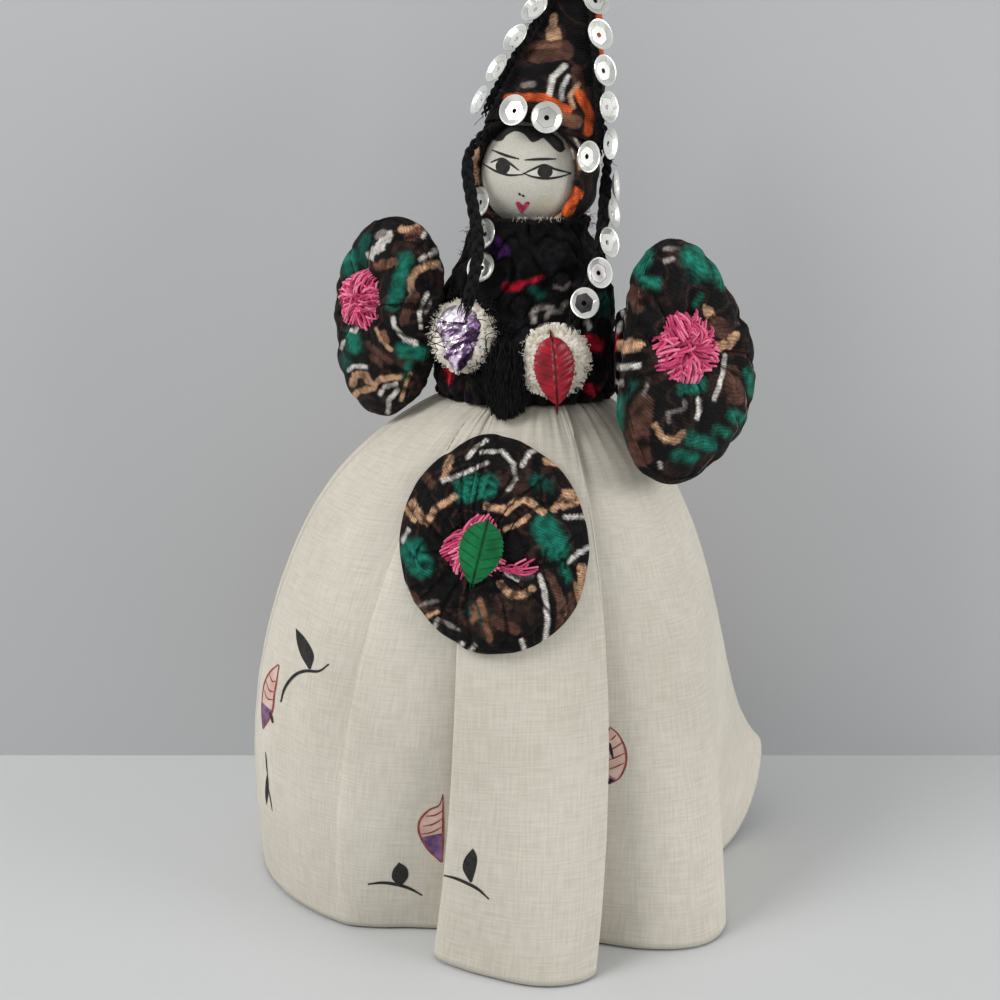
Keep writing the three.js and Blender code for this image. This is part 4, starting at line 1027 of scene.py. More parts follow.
def hat_point(u, v):
    angle = TURN * u
    share = max(0, (v - BRIM_TURN) / (1 - BRIM_TURN))
    r, z = hat_radius(share), lerp(BRIM_HEIGHT, HAT_TIP, share)
    if v < BRIM_TURN:
        inside = 1 - v / BRIM_TURN
        r -= BRIM_THICK * (1 - math.cos(inside * math.pi)) / 2
        z += BRIM_DEEP * inside * inside - 0.5 * math.sin(inside * math.pi)
    x, y = math.sin(angle), -math.cos(angle)
    dent = 0.6 * ripple(r * x, r * y, z * 0.7, 8, 12) + 0.22 * ripple(r * x, r * y, z, 3, 15)
    r += dent * min(1, 6 * (1 - share)) * min(1, 8 * share) if v > BRIM_TURN else 0
    return HAT_SEAT @ mm(r * x, r * y, z)


hat_bm = print_marks(cloth_grid(190, 170, hat_point, (0.066, 0.056)), HAT_MARKS, 51, ragged=1.0)
hat = show("pointed_hat", hat_bm, [HAT_CLOTH], "head", ["hat_cloth"])

# %% [markdown]
# A black cord runs up each side of the hat under the sequins. A two-ply cord is two strands that turn
# round each other, which a twisted tube would only hint at. Loose ends of thread are left standing.

# %% Hat edging
# Each edging: its foot above the head's middle, and its bearings at the foot and at the top.
EDGINGS = {"left": (6.8, -64, -31), "right": (4.7, 70, 26)}
EDGING_RUN, EDGING_PROUD, EDGING_FROM = 31.5, 1.2, 0.03
SCARF_RADIUS = 13.0


def hood_spot(bearing, z, proud):
    """A point so far outside hat and scarf, in millimetres."""
    angle = math.radians(bearing)
    scarf_edge = math.sqrt(max(0, SCARF_RADIUS ** 2 - z * z))
    r = max(hat_radius((z - BRIM_HEIGHT) / (HAT_TIP - BRIM_HEIGHT)), scarf_edge) + proud
    return HAT_SEAT @ mm(r * math.sin(angle), -r * math.cos(angle), z) / MM


def two_ply(line, radius, pitch):
    plies = [[], []]
    for point, run, across, out in along(line, (0.3, -1, 0.2)):
        for number, ply in enumerate(plies):
            a = TURN * (run / pitch + number / 2)
            ply.append(point + (across * math.cos(a) + out * math.sin(a)) * radius)
    return plies


def stray_hairs(count, line, reach, curl):
    return fibres(count, lambda: luck.choice(line), lambda p: p + scatter(reach), curl)


for side, (foot, low, high) in EDGINGS.items():
    steps = np.linspace(EDGING_FROM, 1, 14)
    route = [hood_spot(lerp(low, high, s), foot + EDGING_RUN * s, EDGING_PROUD) for s in steps]
    line = smooth_line(route, 0.35)
    bm = spin_threads(bmesh.new(), two_ply(line, 0.42, 3.2), 0.9, fat=2, lead=8)
    spin_threads(bm, stray_hairs(18, line, 2.2, 0.5), 0.1, fat=0)
    show("edging_" + side, bm, [BLACK_YARN], "head", ["hat_edging_" + side])

# %% [markdown]
# A loose strand of the same yarn joins each plait to the hat at the temple, and a thin thread crosses
# the brow under the sequins.

# %% Temple strands and brow thread
TEMPLE_ROUTES = {
    "left": [(-11.4, -5.5, 154.2), (-11.0, -5.7, 156.4), (-9.3, -6.0, 158.8), (-6.9, -6.2, 161.6)],
    "right": [(15.8, -2.4, 150.6), (16.2, -1.4, 154.5), (16.0, -0.6, 158.5), (15.0, -0.2, 162)]}
BROW_FROM, BROW_TO, BROW_RISE, BROW_DROP, BROW_PROUD = -48, 56, 1.2, 5.0, 0.7

for side, route in TEMPLE_ROUTES.items():
    strand = spin_threads(bmesh.new(), two_ply(smooth_line(route, 0.35), 0.5, 4), 1.1, fat=2, taper=0.4)
    spin_threads(strand, stray_hairs(16, route, 2, 0.6), 0.1, fat=0)
    show("temple_strand_" + side, strand, [BLACK_YARN], "head")


def brow_height(bearing):
    share = min(1, max(0, bearing / BROW_TO))
    return BRIM_HEIGHT + BROW_RISE - BROW_DROP * share * share * (3 - 2 * share)


brow_route = [hood_spot(b, brow_height(b), BROW_PROUD) for b in np.linspace(BROW_FROM, BROW_TO, 40)]
brow_bm = spin_threads(bmesh.new(), two_ply(smooth_line(brow_route, 0.25), 0.2, 1.5), 0.42)
show("brow_string", brow_bm, [BLACK_YARN], "head", ["brow_thread"])

# %% [markdown]
# Each sleeve is a padded round of patterned cloth with a sewn edge, drawn in where the flower is
# stitched on. The round starts as a grid wrapped from the middle of its back, over the rim, to the
# middle of its front, with the puckers that the stitches pull already in it.

# %% Padded rounds
# The round's section, back to front: share of the way, of the radius and of the thickness.
ROUND_PROFILE = np.array([(0, 0, -0.5), (0.16, 0.5, -0.48), (0.3, 0.84, -0.34), (0.39, 0.97, -0.12),
                          (0.44, 1, 0.03), (0.5, 0.96, 0.2), (0.62, 0.8, 0.42), (0.78, 0.5, 0.5),
                          (1, 0, 0.5)])
ROUND_GRID, ROUND_RIM = (132, 76), 0.44
DRAWN_IN, PUCKER_RING = 0.12, 5


def drawn_in(x, y, half_width, half_height, flower, seed, puckers, depth):
    """How far the flower's stitches draw a round's front in, as a share of its thickness."""
    far = math.hypot(x - flower[0], y - flower[1])
    about = math.atan2(y - flower[1], x - flower[0])
    ring_x, ring_y = PUCKER_RING * math.cos(about), PUCKER_RING * math.sin(about)
    bent = about + 0.5 * ripple(ring_x, ring_y, far * 0.25, 3.5, seed)
    valley = (1 - abs(math.sin(puckers * bent / 2))) ** 1.5
    valley *= 0.6 + 0.5 * ripple(ring_x, ring_y, 0, 2.2, seed + 4)
    reach = max(0, 1 - (far / (1.25 * half_height)) ** 2)
    return DRAWN_IN * math.exp(-far / (0.42 * half_width)) + depth * valley * reach


def padded_round(half_width, half_height, thickness, flower, outline, seed, puckers=9, depth=0.12):
    """A padded disc in its own seat, +Z out of its front, drawn in round the flower's place."""
    bearings, shares = np.array(sorted(outline)).T
    bearings = np.concatenate([bearings - 360, bearings, bearings + 360])
    shares = np.tile(shares, 3)

    def place(u, v):
        angle = TURN * u
        r, h = (float(np.interp(v, ROUND_PROFILE[:, 0], ROUND_PROFILE[:, k])) for k in (1, 2))
        shape = lerp(1, float(np.interp(math.degrees(angle), bearings, shares)), r ** 1.5)
        x, y = half_width * r * shape * math.cos(angle), half_height * r * shape * math.sin(angle)
        z = thickness * h
        if v > ROUND_RIM:
            pulled = drawn_in(x, y, half_width, half_height, flower, seed, puckers, depth)
            z -= thickness * pulled * (1 - r ** 6)
            z += (0.8 * ripple(x, y, 0, 6.5, seed) + 0.3 * ripple(x, y, 0, 2.8, seed + 9)) * (1 - r ** 4)
        else:
            z += 0.5 * ripple(x, y, 3, 6, seed) * (1 - r ** 4)
        lumps = 0.3 * ripple(x, y, z, 4.5, seed + 6) * r ** 3
        return mm(x + lumps * math.cos(angle), y + lumps * math.sin(angle), z)

    return cloth_grid(*ROUND_GRID, place, (TURN * half_width * 0.6 * MM, 2 * half_height * MM))


print("a round is a grid of", ROUND_GRID[0] * ROUND_GRID[1], "quads")

# %% [markdown]
# Cloth simulation then blows the round up a little, with the rim, the back and the flower's place
# pinned, so that real puckers form between the stitches. It runs at twenty times the size, because
# the solver is made for garments, and no point may creep further than the wadding would let it.

# %% Swelling by simulation
SIM_SCALE, SIM_FRAMES = 20, 16
CREEP = 1.6
STITCH = 2.5


def pinned(flower, rim, back):
    """Tells which points are held: between the rim's two heights, behind the back's, and at the flower."""
    def held(vert):
        x, y, z = vert.co / MM
        at_flower = z > 0 and math.hypot(x - flower[0], y - flower[1]) < STITCH
        return rim[0] < z < rim[1] or z < back or at_flower
    return held


def puff_up(bm, held, pressure=3.5, slack=0.09):
    """Swells a cloth bmesh by simulation, with the vertices for which held(vert) is true kept in place."""
    mesh = bpy.data.meshes.new("stuffing")
    bm.to_mesh(mesh)
    mesh.transform(Matrix.Scale(SIM_SCALE, 4))
    dummy = bpy.data.objects.new("stuffing", mesh)
    scene.collection.objects.link(dummy)
    pins = dummy.vertex_groups.new(name="pins")
    pins.add([v.index for v in bm.verts if held(v)], 1.0, "REPLACE")
    cloth = dummy.modifiers.new("cloth", "CLOTH")
    cloth.settings.vertex_group_mass = "pins"
    cloth.settings.quality = 6
    cloth.settings.mass = 0.25
    cloth.settings.bending_stiffness = 0.3
    cloth.settings.shrink_min = -slack
    cloth.settings.use_pressure = True
    cloth.settings.uniform_pressure_force = pressure
    cloth.settings.effector_weights.gravity = 0
    cloth.collision_settings.use_collision = False
    for step in range(1, SIM_FRAMES + 1):
        scene.frame_set(step)
    swollen = dummy.evaluated_get(bpy.context.evaluated_depsgraph_get()).data
    for vert, moved in zip(bm.verts, swollen.vertices):
        step = moved.co / SIM_SCALE - vert.co
        vert.co += step * min(1, CREEP * MM / max(step.length, 1e-9))
    scene.frame_set(1)
    bpy.data.objects.remove(dummy)
    bpy.data.meshes.remove(mesh)


print("a full run swells each round for", SIM_FRAMES, "frames")

# %% [markdown]
# The flowers are worked in pink floss. A bumpy disc would look like a button, so each strand is real:
# a flower has a few petals, and each petal is a bundle of strands that leave the middle together, bow
# out and up, and close again at the tip, in three tiers.

# %% Petals of floss
floss = Dye("pink_floss", 0.7, Sheen_Weight=0.08, Specular_IOR_Level=0.3)
twist = floss.noise(1, 1, floss.shift(floss.place, (2600, 2600, 2600)))
shade = floss.math("ADD", floss.math("MULTIPLY", floss.tint(), 0.8), floss.math("MULTIPLY", twist, 0.3))
floss.color(floss.ramp(shade, [(0.12, (0.33, 0.016, 0.075)), (0.5, (0.74, 0.075, 0.215)),
                               (0.95, (0.92, 0.28, 0.42))]))
PINK = floss.bump(twist, 0.5, 0.12).material
PINK_SHADOW = Dye("pink_floss_shadow", 0.95).color((0.10, 0.008, 0.03)).material
# Each tier of a petal: its share of the reach, its height, and its share of the strands.
TIERS = [(1.0, 0.6, 1.0), (0.86, 0.84, 0.8), (0.68, 1.0, 0.55)]
# Where a strand of a petal has its points, from the middle to the tip.
STRAND_STEPS = [0.0, 0.12, 0.26, 0.42, 0.58, 0.74, 0.88, 0.97, 1.0]
PETAL_WIDE, PETAL_SWIRL = 0.78, 0.45


def petal_strands(radius, height, bearing, spread, reach, thread, strands):
    """The strands of one petal, which spreads by so many degrees and reaches that share of the radius."""
    way = math.radians(bearing)
    swirl, bold = luck.uniform(-PETAL_SWIRL, PETAL_SWIRL), luck.uniform(0.8, 1.2)
    half_wide = PETAL_WIDE * radius * reach * math.sin(math.radians(spread / 2))
    lines = []
    for tier, tall, share_of in TIERS:
        count = max(3, round(strands * share_of))
        for k in range(count):
            share = (k + luck.uniform(0.2, 0.8)) / count * 2 - 1
            edge = radius * reach * tier * (1 - 0.3 * share * share) * luck.uniform(0.92, 1.03)
            lift = height * bold * tall * (1 - 0.4 * share * share) * luck.uniform(0.88, 1.1)
            sway = luck.uniform(-0.7, 0.7) * thread
            line = []
            for s in STRAND_STEPS:
                bow = math.sin(math.pi * (0.08 + 0.82 * s))
                fan = math.sin(math.pi * (0.06 + 0.66 * s))
                out = lerp(radius * 0.07, edge, s)
                side = share * half_wide * tier * fan + sway * math.sin(TURN * s)
                rise = lift * bow ** 0.6 - 0.7 * height * max(0, s - 0.9) * 6
                c, d = math.cos(way + swirl * s * s), math.sin(way + swirl * s * s)
                line.append((out * c - side * d, out * d + side * c, rise))
            lines.append(line)
    return lines


print("floss:", PINK.name, "in", len(TIERS), "tiers")

# %% [markdown]
# Short arcs stray over the petals, as in floss that has been handled, and a dark pad under them shows in the
# gaps as painted shade.

# %% Thread flowers
# Where a stray arc has its points, from one end to the other.
ARC_STEPS = [-1, -0.7, -0.35, 0, 0.35, 0.7, 1]
ARCS_PER_STRAND = 3
PAD_WIDE, PAD_HIGH = 0.68, 0.62


def stray_arc(radius, height):
    toward, far = luck.uniform(0, TURN), radius * luck.uniform(0.12, 0.7)
    heading, half_run = toward + luck.gauss(0.6, 0.7), radius * luck.uniform(0.14, 0.28)
    top = height * (1.04 - 0.5 * (far / radius) ** 2) * luck.uniform(0.95, 1.12)
    x, y = far * math.cos(toward), far * math.sin(toward)
    run_x, run_y = half_run * math.cos(heading), half_run * math.sin(heading)
    return [(x + s * run_x, y + s * run_y, top - 0.5 * height * s * s) for s in ARC_STEPS]


def half_ball(segments, rings, place):
    """A ball with each point carried from its place on the unit sphere to place(x, y, z)."""
    bm = bmesh.new()
    bmesh.ops.create_uvsphere(bm, u_segments=segments, v_segments=rings, radius=1)
    for vert in bm.verts:
        vert.co = place(*vert.co)
    bmesh.ops.remove_doubles(bm, verts=bm.verts, dist=WELD)
    return bm


def thread_flower(radius, height, petals, seat, thread, strands):
    """A pink flower in its seat. Each petal is (bearing, spread in degrees, reach share)."""
    lines = []
    for petal in petals:
        lines += petal_strands(radius, height, *petal, thread, strands)
    lines += [stray_arc(radius, height) for _ in range(ARCS_PER_STRAND * strands)]
    wide, high = radius * PAD_WIDE, height * PAD_HIGH
    bm = half_ball(24, 12, lambda x, y, z: mm(x * wide, y * wide, max(z, 0) * high))
    # The pad takes the dark finish: painted shade between the strands.
    for face in bm.faces:
        face.material_index = 1
    spin_threads(bm, lines, thread)
    bmesh.ops.transform(bm, matrix=seat, verts=bm.verts)
    return bm


print("a flower has", ARCS_PER_STRAND, "stray arcs for each strand of a petal")

# %% [markdown]
# Both sleeves are now set on their arms. The facing of each round and the reach from its shoulder are
# the CAD model's. The outline and the marks of each print are drawn as the photograph shows them.

# %% The sleeves' cut and print
SLEEVES = {
    "left": dict(shoulder=(-21.58, 2.67, 123), turn=-38, lean=4, high=41, wide=29, thick=10, reach=-2.6,
                 size=12, flower=(-3.8, 3.4), seed=3, thread=0.46, strands=12, tip=-3,
                 petals=[(80, 84, 1.0), (15, 76, 0.95), (150, 86, 1.02), (222, 84, 1.0), (297, 90, 1.05)],
                 outline=[(0, 0.78), (25, 0.98), (45, 1.07), (64, 1.04), (90, 1.0), (115, 0.99), (135, 0.98),
                          (160, 1.0), (180, 1.02), (200, 1.0), (225, 1.05), (250, 1.03), (270, 1.0),
                          (290, 0.92), (315, 0.86)]),
    "right": dict(shoulder=(21.98, -6.53, 117), turn=38, lean=13, high=47, wide=37, thick=10, reach=7.3,
                  size=16, flower=(-5.0, 0.4), seed=8, thread=0.56, strands=13, tip=-6,
                  petals=[(115, 80, 0.95), (50, 70, 0.95), (345, 90, 1.0), (270, 80, 1.0), (195, 95, 1.05)],
                  outline=[(0, 0.86), (20, 0.79), (45, 0.79), (68, 0.88), (90, 0.95), (112, 0.97),
                           (135, 0.92), (160, 0.84), (180, 0.92), (202, 1.19), (225, 1.32), (248, 1.19),
                           (270, 1.03), (292, 0.94), (315, 0.97), (340, 0.97)])}
LEFT_MARKS = [
    (TEAL, 15, [(350, 258), (349, 268)]), (DEEP_TEAL, 12, [(366, 240), (361, 262)]),
    (TEAL, 14, [(405, 259), (402, 274)]), (TEAL, 13, [(399, 284), (393, 303)]),
    (TEAL, 13, [(351, 334), (355, 348)]), (TEAL, 15, [(403, 350), (420, 353)]),
    (TEAL, 6, [(408, 366), (404, 376)]), (DEEP_TEAL, 10, [(345, 360), (347, 366)]),
    (WHITE, 9, [(389, 235), (380, 246), (371, 255)]), (GREY, 6, [(384, 232), (377, 236)]),
    (TAN, 7, [(402, 229), (411, 230), (422, 224)]), (RUSSET, 9, [(408, 237), (424, 229)]),
    (WHITE, 3.5, [(423, 237), (427, 229), (433, 224)]), (WHITE, 4, [(437, 242), (439, 231), (444, 233)]),
    (WHITE, 4.5, [(420, 260), (428, 255), (438, 250), (445, 252)]),
    (TAN, 7, [(411, 289), (411, 279), (417, 270), (427, 265), (438, 264)]),
    (GREY, 3, [(438, 264), (442, 270)]), (WHITE, 4, [(421, 327), (419, 314), (422, 306), (427, 294)]),
    (GREY, 4, [(426, 312), (430, 303)]), (GREY, 4, [(405, 305), (411, 296), (412, 290)]),
    (BROWN, 9, [(404, 322), (407, 308), (415, 296)]),
    (WHITE, 4.5, [(393, 318), (394, 326), (402, 336), (410, 340)]), (WHITE, 6, [(405, 339), (415, 343)]),
    (TAN, 4, [(376, 329), (382, 341), (391, 350)]), (RUSSET, 7, [(383, 333), (387, 341)]),
    (RUSSET, 9, [(378, 266), (394, 262)]), (WHITE, 3.5, [(351, 330), (355, 332), (357, 328)]),
    (BROWN, 6, [(368, 344), (390, 362)]), (BROWN, 6, [(372, 356), (388, 370)]),
    (WHITE, 4, [(349, 370), (354, 366), (366, 367)]),
    (TAN, 7, [(353, 384), (355, 375), (364, 375), (373, 385)]),
    (TAN, 6, [(375, 384), (381, 379), (400, 377)]), (TAN, 6, [(351, 399), (359, 391), (374, 388)]),
    (WHITE, 4.5, [(380, 394), (384, 387), (396, 384)]), (WHITE, 5, [(388, 412), (389, 400), (398, 390)]),
    (TAN, 4, [(401, 400), (405, 386), (410, 374)]), (WHITE, 3, [(341, 348), (344, 341)])]
RIGHT_MARKS = [
    (TEAL, 26, [(693, 257), (711, 267)]), (TEAL, 9, [(718, 272), (723, 285)]),
    (DEEP_TEAL, 7, [(690, 272), (697, 280)]), (TEAL, 15, [(646, 254), (639, 269)]),
    (TEAL, 11, [(645, 281), (656, 284)]), (TEAL, 4, [(701, 296), (696, 304)]),
    (GREY, 4, [(665, 249), (679, 248)]), (GREY, 4.5, [(665, 261), (673, 259)]),
    (TAN, 9, [(706, 310), (712, 317)]), (BROWN, 17, [(714, 323), (727, 332)]),
    (TAN, 9, [(716, 347), (729, 344), (736, 335)]), (TAN, 6, [(713, 353), (715, 358)]),
    (BROWN, 17, [(731, 373), (736, 397)]), (WHITE, 4.5, [(725, 356), (723, 374), (714.5, 399)]),
    (TEAL, 8, [(748, 372), (752, 392)]), (TEAL, 11, [(733, 415), (742, 420)]),
    (TEAL, 9, [(718, 430), (727, 434)]), (TEAL, 12, [(690, 438), (710, 445)]),
    (TEAL, 11, [(677, 456), (692, 458)]), (TEAL, 12, [(684, 389), (701, 385)]),
    (GREY, 4, [(669, 422), (668, 413), (685, 409), (684.5, 400)]),
    (WHITE, 5, [(698.5, 400), (699.5, 411), (697, 418)]),
    (BROWN, 22, [(643, 403), (637, 436), (641, 456)]),
    (TAN, 7, [(655, 426), (663, 437), (674, 442), (683, 434)]), (TEAL, 10, [(618, 400), (616, 434)]),
    (DEEP_TEAL, 5, [(634, 382), (627, 398)]), (GREY, 4, [(647, 385), (644, 395)]),
    (BROWN, 14, [(632, 292), (638, 306)]), (WHITE, 3, [(660, 463), (661, 468)]),
    (DARK_BROWN, 12, [(690, 345), (700, 362)]), (TAN, 13, [(625, 347), (637, 345)]),
    (WHITE, 4.5, [(622, 367), (639, 365)]), (WHITE, 4, [(622, 309), (623, 317)]),
    (WHITE, 4, [(612, 381), (622, 383)]), (CHERRY, 9, [(614, 338), (615, 348)])]
SLEEVE_MARKS = {"left": LEFT_MARKS, "right": RIGHT_MARKS}
print("marks on the sleeves:", {side: len(marks) for side, marks in SLEEVE_MARKS.items()})

# %% [markdown]
# Each round is shaped, swollen, split finer for its print, and only then carried to its seat, so the
# simulation never sees how it is turned. The flower sits in the hollow that its stitches leave.

# %% Sleeves
# The rim's two heights and the back's that stitches hold, as shares of the thickness.
HELD_RIM, HELD_BACK = (-0.11, 0.17), -0.3
FLOWER_SHARE, FLOWER_HEIGHT, FLOWER_SINK = 0.58, 3.3, 1.2

for side, cut in SLEEVES.items():
    turn, lean = math.radians(cut["turn"]), math.radians(cut["lean"])
    facing = Vector((math.sin(turn) * math.cos(lean), -math.cos(turn) * math.cos(lean), math.sin(lean)))
    thick, flower = cut["thick"], cut["flower"]
    middle = Vector(cut["shoulder"]) + Vector((cut["reach"], 0, 0)) + facing * thick / 2
    seat = seat_on(middle * MM, facing)
    bm = padded_round(cut["wide"] / 2, cut["high"] / 2, thick, flower, cut["outline"], cut["seed"])
    puff_up(bm, pinned(flower, [share * thick for share in HELD_RIM], HELD_BACK * thick))
    bm = refined(bm)
    bmesh.ops.transform(bm, matrix=seat, verts=bm.verts)
    print_marks(bm, SLEEVE_MARKS[side], cut["seed"])
    body = "arm_" + side
    puff = show("puffed_sleeve_" + side, bm, [PATTERNED], body, ["sleeve_puff_" + side])
    front = seat @ Matrix.Translation(mm(*flower, thick / 2 - FLOWER_SINK)) @ turned(cut["tip"], "Y")
    flower_bm = thread_flower(cut["size"] * FLOWER_SHARE, FLOWER_HEIGHT, cut["petals"], front,
                              cut["thread"], cut["strands"])
    show("pink_flower_" + side, flower_bm, [PINK, PINK_SHADOW], body, ["sleeve_flower_" + side])

# %% [markdown]
# A short arm joins each sleeve to the bodice: a stuffed tube of the floral cloth, gathered at both
# ends. It is a grid round the shoulder's axis that closes where its swell is nought.

# %% Arms
# How far each arm reaches up and down, at the bodice and at the sleeve, and how deep both are there.
ARM_TALL = {"left": (7.5, 5.0), "right": (11.0, 6.5)}
ARM_DEEP = (4.4, 3.6)
ARM_INTO_BODICE, ARM_INTO_SLEEVE = -4.0, 2.5
ARM_MARKS = [
    (CHERRY, 8, [(614, 333), (615, 348)]), (TAN, 11, [(622, 346), (637, 344)]),
    (WHITE, 4, [(618, 368), (638, 365)]), (WHITE, 3.5, [(610, 381), (621, 383)]),
    (WHITE, 4.5, [(618, 329), (621, 324)]), (WHITE, 3, [(622, 310), (623, 316)])]


def arm_shape(side, cut):
    """The place on an arm of a point of its cloth."""
    way = -1 if side == "left" else 1
    shoulder = Vector(cut["shoulder"])
    length = abs(cut["reach"]) + ARM_INTO_SLEEVE

    def place(u, v):
        angle = TURN * u
        run = lerp(ARM_INTO_BODICE, length, v)
        swell = math.sin(math.pi * (0.06 + 0.88 * v)) ** 0.3 if 0 < v < 1 else 0.0
        folds = 0.1 * math.cos(11 * angle + 3 * ripple(run, 0, 0, 4, 5))
        folds += 0.12 * ripple(run * 2, 5 * math.cos(angle), 5 * math.sin(angle), 3, 7)
        y = lerp(*ARM_DEEP, v) * swell * (1 + folds) * math.cos(angle) * way
        z = lerp(*ARM_TALL[side], v) * swell * (1 + folds) * math.sin(angle)
        return (shoulder + Vector((way * run, y, z))) * MM

    return place


for side, cut in SLEEVES.items():
    bm = cloth_grid(72, 56, arm_shape(side, cut), (0.022, 0.012))
    print_marks(bm, ARM_MARKS, 61, (BLACK, SOOT), BODICE_BANDS)
    arm = show("stuffed_arm_" + side, bm, [FLORAL], "arm_" + side, ["arm_" + side])

# %% [markdown]
# The apron is one more gathered round, flat on the skirt's front panel. To lay it there, rays from the
# front find the panel's depth at a raster of points, and a smooth surface of the third degree is
# fitted to them, because the apron bridges the panel's small folds and doesn't follow them.

# %% The panel under the apron
APRON_THICK, APRON_CLEAR = 3.6, 0.25
PANEL_MARGIN, PANEL_RASTER = 1.06, (24, 28)
graph = bpy.context.evaluated_depsgraph_get()
skirt_tree = BVHTree.FromObject(skirt, graph)
bodice_tree = BVHTree.FromObject(bodice, graph)
head_tree = BVHTree.FromObject(head, graph)


def front_of(tree, x, z, default_y=-20.0):
    """The first surface met at x, z in millimetres when coming from the front."""
    spot = tree.ray_cast(mm(x, -90, z), Vector((0, 1, 0)))[0]
    return spot or mm(x, default_y, z)


apron_low, apron_high = (Vector(corner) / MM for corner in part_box("apron_puff"))
apron_x, _, apron_z = (apron_low + apron_high) / 2
half_wide, _, half_high = (apron_high - apron_low) / 2
panel = []
for x in np.linspace(-half_wide * PANEL_MARGIN, half_wide * PANEL_MARGIN, PANEL_RASTER[0]):
    for y in np.linspace(-half_high * PANEL_MARGIN, half_high * PANEL_MARGIN, PANEL_RASTER[1]):
        panel.append((x, y, front_of(skirt_tree, apron_x + x, apron_z + y).y / MM))
panel_x, panel_y, panel_depth = np.array(panel).T


def cubic_terms(x, y):
    return np.stack([np.ones_like(x), x, y, x * x, x * y, y * y, x ** 3, y ** 3, x * x * y, x * y * y], -1)


panel_fit = np.linalg.lstsq(cubic_terms(panel_x, panel_y), panel_depth, rcond=None)[0]


def on_panel(x, y, proud):
    """A point in front of the skirt's panel, in millimetres from the apron's middle."""
    smooth_y = float(cubic_terms(np.array(x), np.array(y)) @ panel_fit)
    cloth_y = front_of(skirt_tree, apron_x + x, apron_z + y).y / MM
    return mm(apron_x + x, min(smooth_y, cloth_y) - proud, apron_z + y)


print("apron's CAD box:", round(2 * half_wide, 1), "by", round(2 * half_high, 1), "mm")

# %% [markdown]
# The apron is shaped, swollen and split like a sleeve, but with more and deeper puckers, and then
# each point is set as far in front of the panel as it stood above the flat.

# %% Apron
APRON_FLOWER = (-3.0, -0.5)
APRON_OUTLINE = [(0, 1.0), (30, 0.98), (60, 0.96), (90, 1.0), (120, 0.95), (150, 0.98), (180, 1.0),
                 (215, 1.0), (245, 1.0), (270, 1.0), (300, 1.02), (325, 1.05), (345, 1.02)]
APRON_RIM, APRON_BACK = (-0.9, 0.9), -1.2
APRON_SEED = 5
APRON_MARKS = [
    (TEAL, 24, [(466, 490), (486, 486)]), (TEAL, 24, [(413, 550), (421, 566)]),
    (TEAL, 26, [(546, 528), (556, 548)]), (TEAL, 8, [(560, 560), (569, 580)]),
    (DEEP_TEAL, 12, [(535, 480), (548, 486)]), (DEEP_TEAL, 12, [(470, 610), (482, 618)]),
    (TAN, 7, [(444, 479), (447, 468), (451, 458)]),
    (TAN, 7, [(412, 503), (422, 519), (428, 522), (435, 509), (454, 497)]),
    (TAN, 7, [(546, 461), (560, 465), (573, 474)]),
    (TAN, 7, [(506, 512), (516, 501), (527, 500), (543, 512)]),
    (TAN, 7, [(554, 509), (565, 498), (585, 493)]), (TAN, 10, [(583, 569), (582, 592)]),
    (TAN, 7, [(500, 584), (511, 595), (522, 595), (533, 589)]),
    (WHITE, 4.5, [(468, 457), (476, 447), (486, 441)]),
    (WHITE, 4.5, [(522, 466), (529, 453), (543, 447)]),
    (WHITE, 4, [(482, 452), (502, 451), (513, 463), (516, 479), (508, 490)]),
    (WHITE, 4, [(443, 481), (465, 473), (487, 463)]), (WHITE, 4.5, [(569, 562), (578, 553), (588, 548)]),
    (WHITE, 4.5, [(505, 573), (518, 579), (532, 576)]),
    (WHITE, 5, [(540, 576), (545, 595), (548, 619), (545, 640)]), (WHITE, 4, [(454, 656), (462, 643)]),
    (WHITE, 4, [(468, 656), (474, 645)]), (WHITE, 4, [(522, 640), (526, 656)]),
    (TAN, 5, [(404, 507), (414, 520)]), (TAN, 6, [(565, 492), (586, 492)]),
    (TAN, 5, [(563, 507), (586, 500)]), (WHITE, 4, [(565, 517), (587, 517)]),
    (BROWN, 6, [(412, 594), (426, 610)]), (WHITE, 5, [(404, 584), (414, 609)]),
    (GREY, 4, [(440, 620), (458, 630)]), (TAN, 5, [(558, 589), (565, 614)]),
    (TAN, 5, [(575, 584), (580, 604)]), (RUSSET, 7, [(473, 608), (476, 617), (468, 624)]),
    (WHITE, 4, [(408, 530), (403, 540)]), (RUSSET, 6, [(480, 600), (490, 640)]),
    (TAN, 5, [(430, 632), (446, 645)]), (RUSSET, 6, [(440, 445), (455, 440)]),
    (BROWN, 8, [(550, 576), (562, 603), (559, 632)]), (BROWN, 7, [(572, 596), (570, 620)]),
    (BROWN, 9, [(420, 470), (432, 485)]), (BROWN, 10, [(495, 620), (515, 630)]),
    (TAN, 5, [(505, 529), (517, 525), (528, 516)]), (TAN, 7, [(487, 507), (502, 509)]),
    (GREY, 3.5, [(412, 609), (424, 604), (437, 601)]), (TAN, 4, [(419, 624), (428, 616), (438, 612)]),
    (WHITE, 3.5, [(430, 637), (434, 628), (438, 619)])]

apron_bm = padded_round(half_wide, half_high, APRON_THICK, APRON_FLOWER, APRON_OUTLINE, APRON_SEED,
                        puckers=15, depth=0.42)
puff_up(apron_bm, pinned(APRON_FLOWER, APRON_RIM, APRON_BACK), pressure=2.5)
apron_bm = refined(apron_bm)
for vert in apron_bm.verts:
    x, y, z = vert.co / MM
    vert.co = on_panel(x, y, z + APRON_THICK / 2 + APRON_CLEAR)
print_marks(apron_bm, APRON_MARKS, APRON_SEED)
apron = show("gathered_apron", apron_bm, [APRON_CLOTH], "torso", ["apron_puff"])

# %% [markdown]
# On the apron sits a third pink flower, whose loose tails lie to the right.

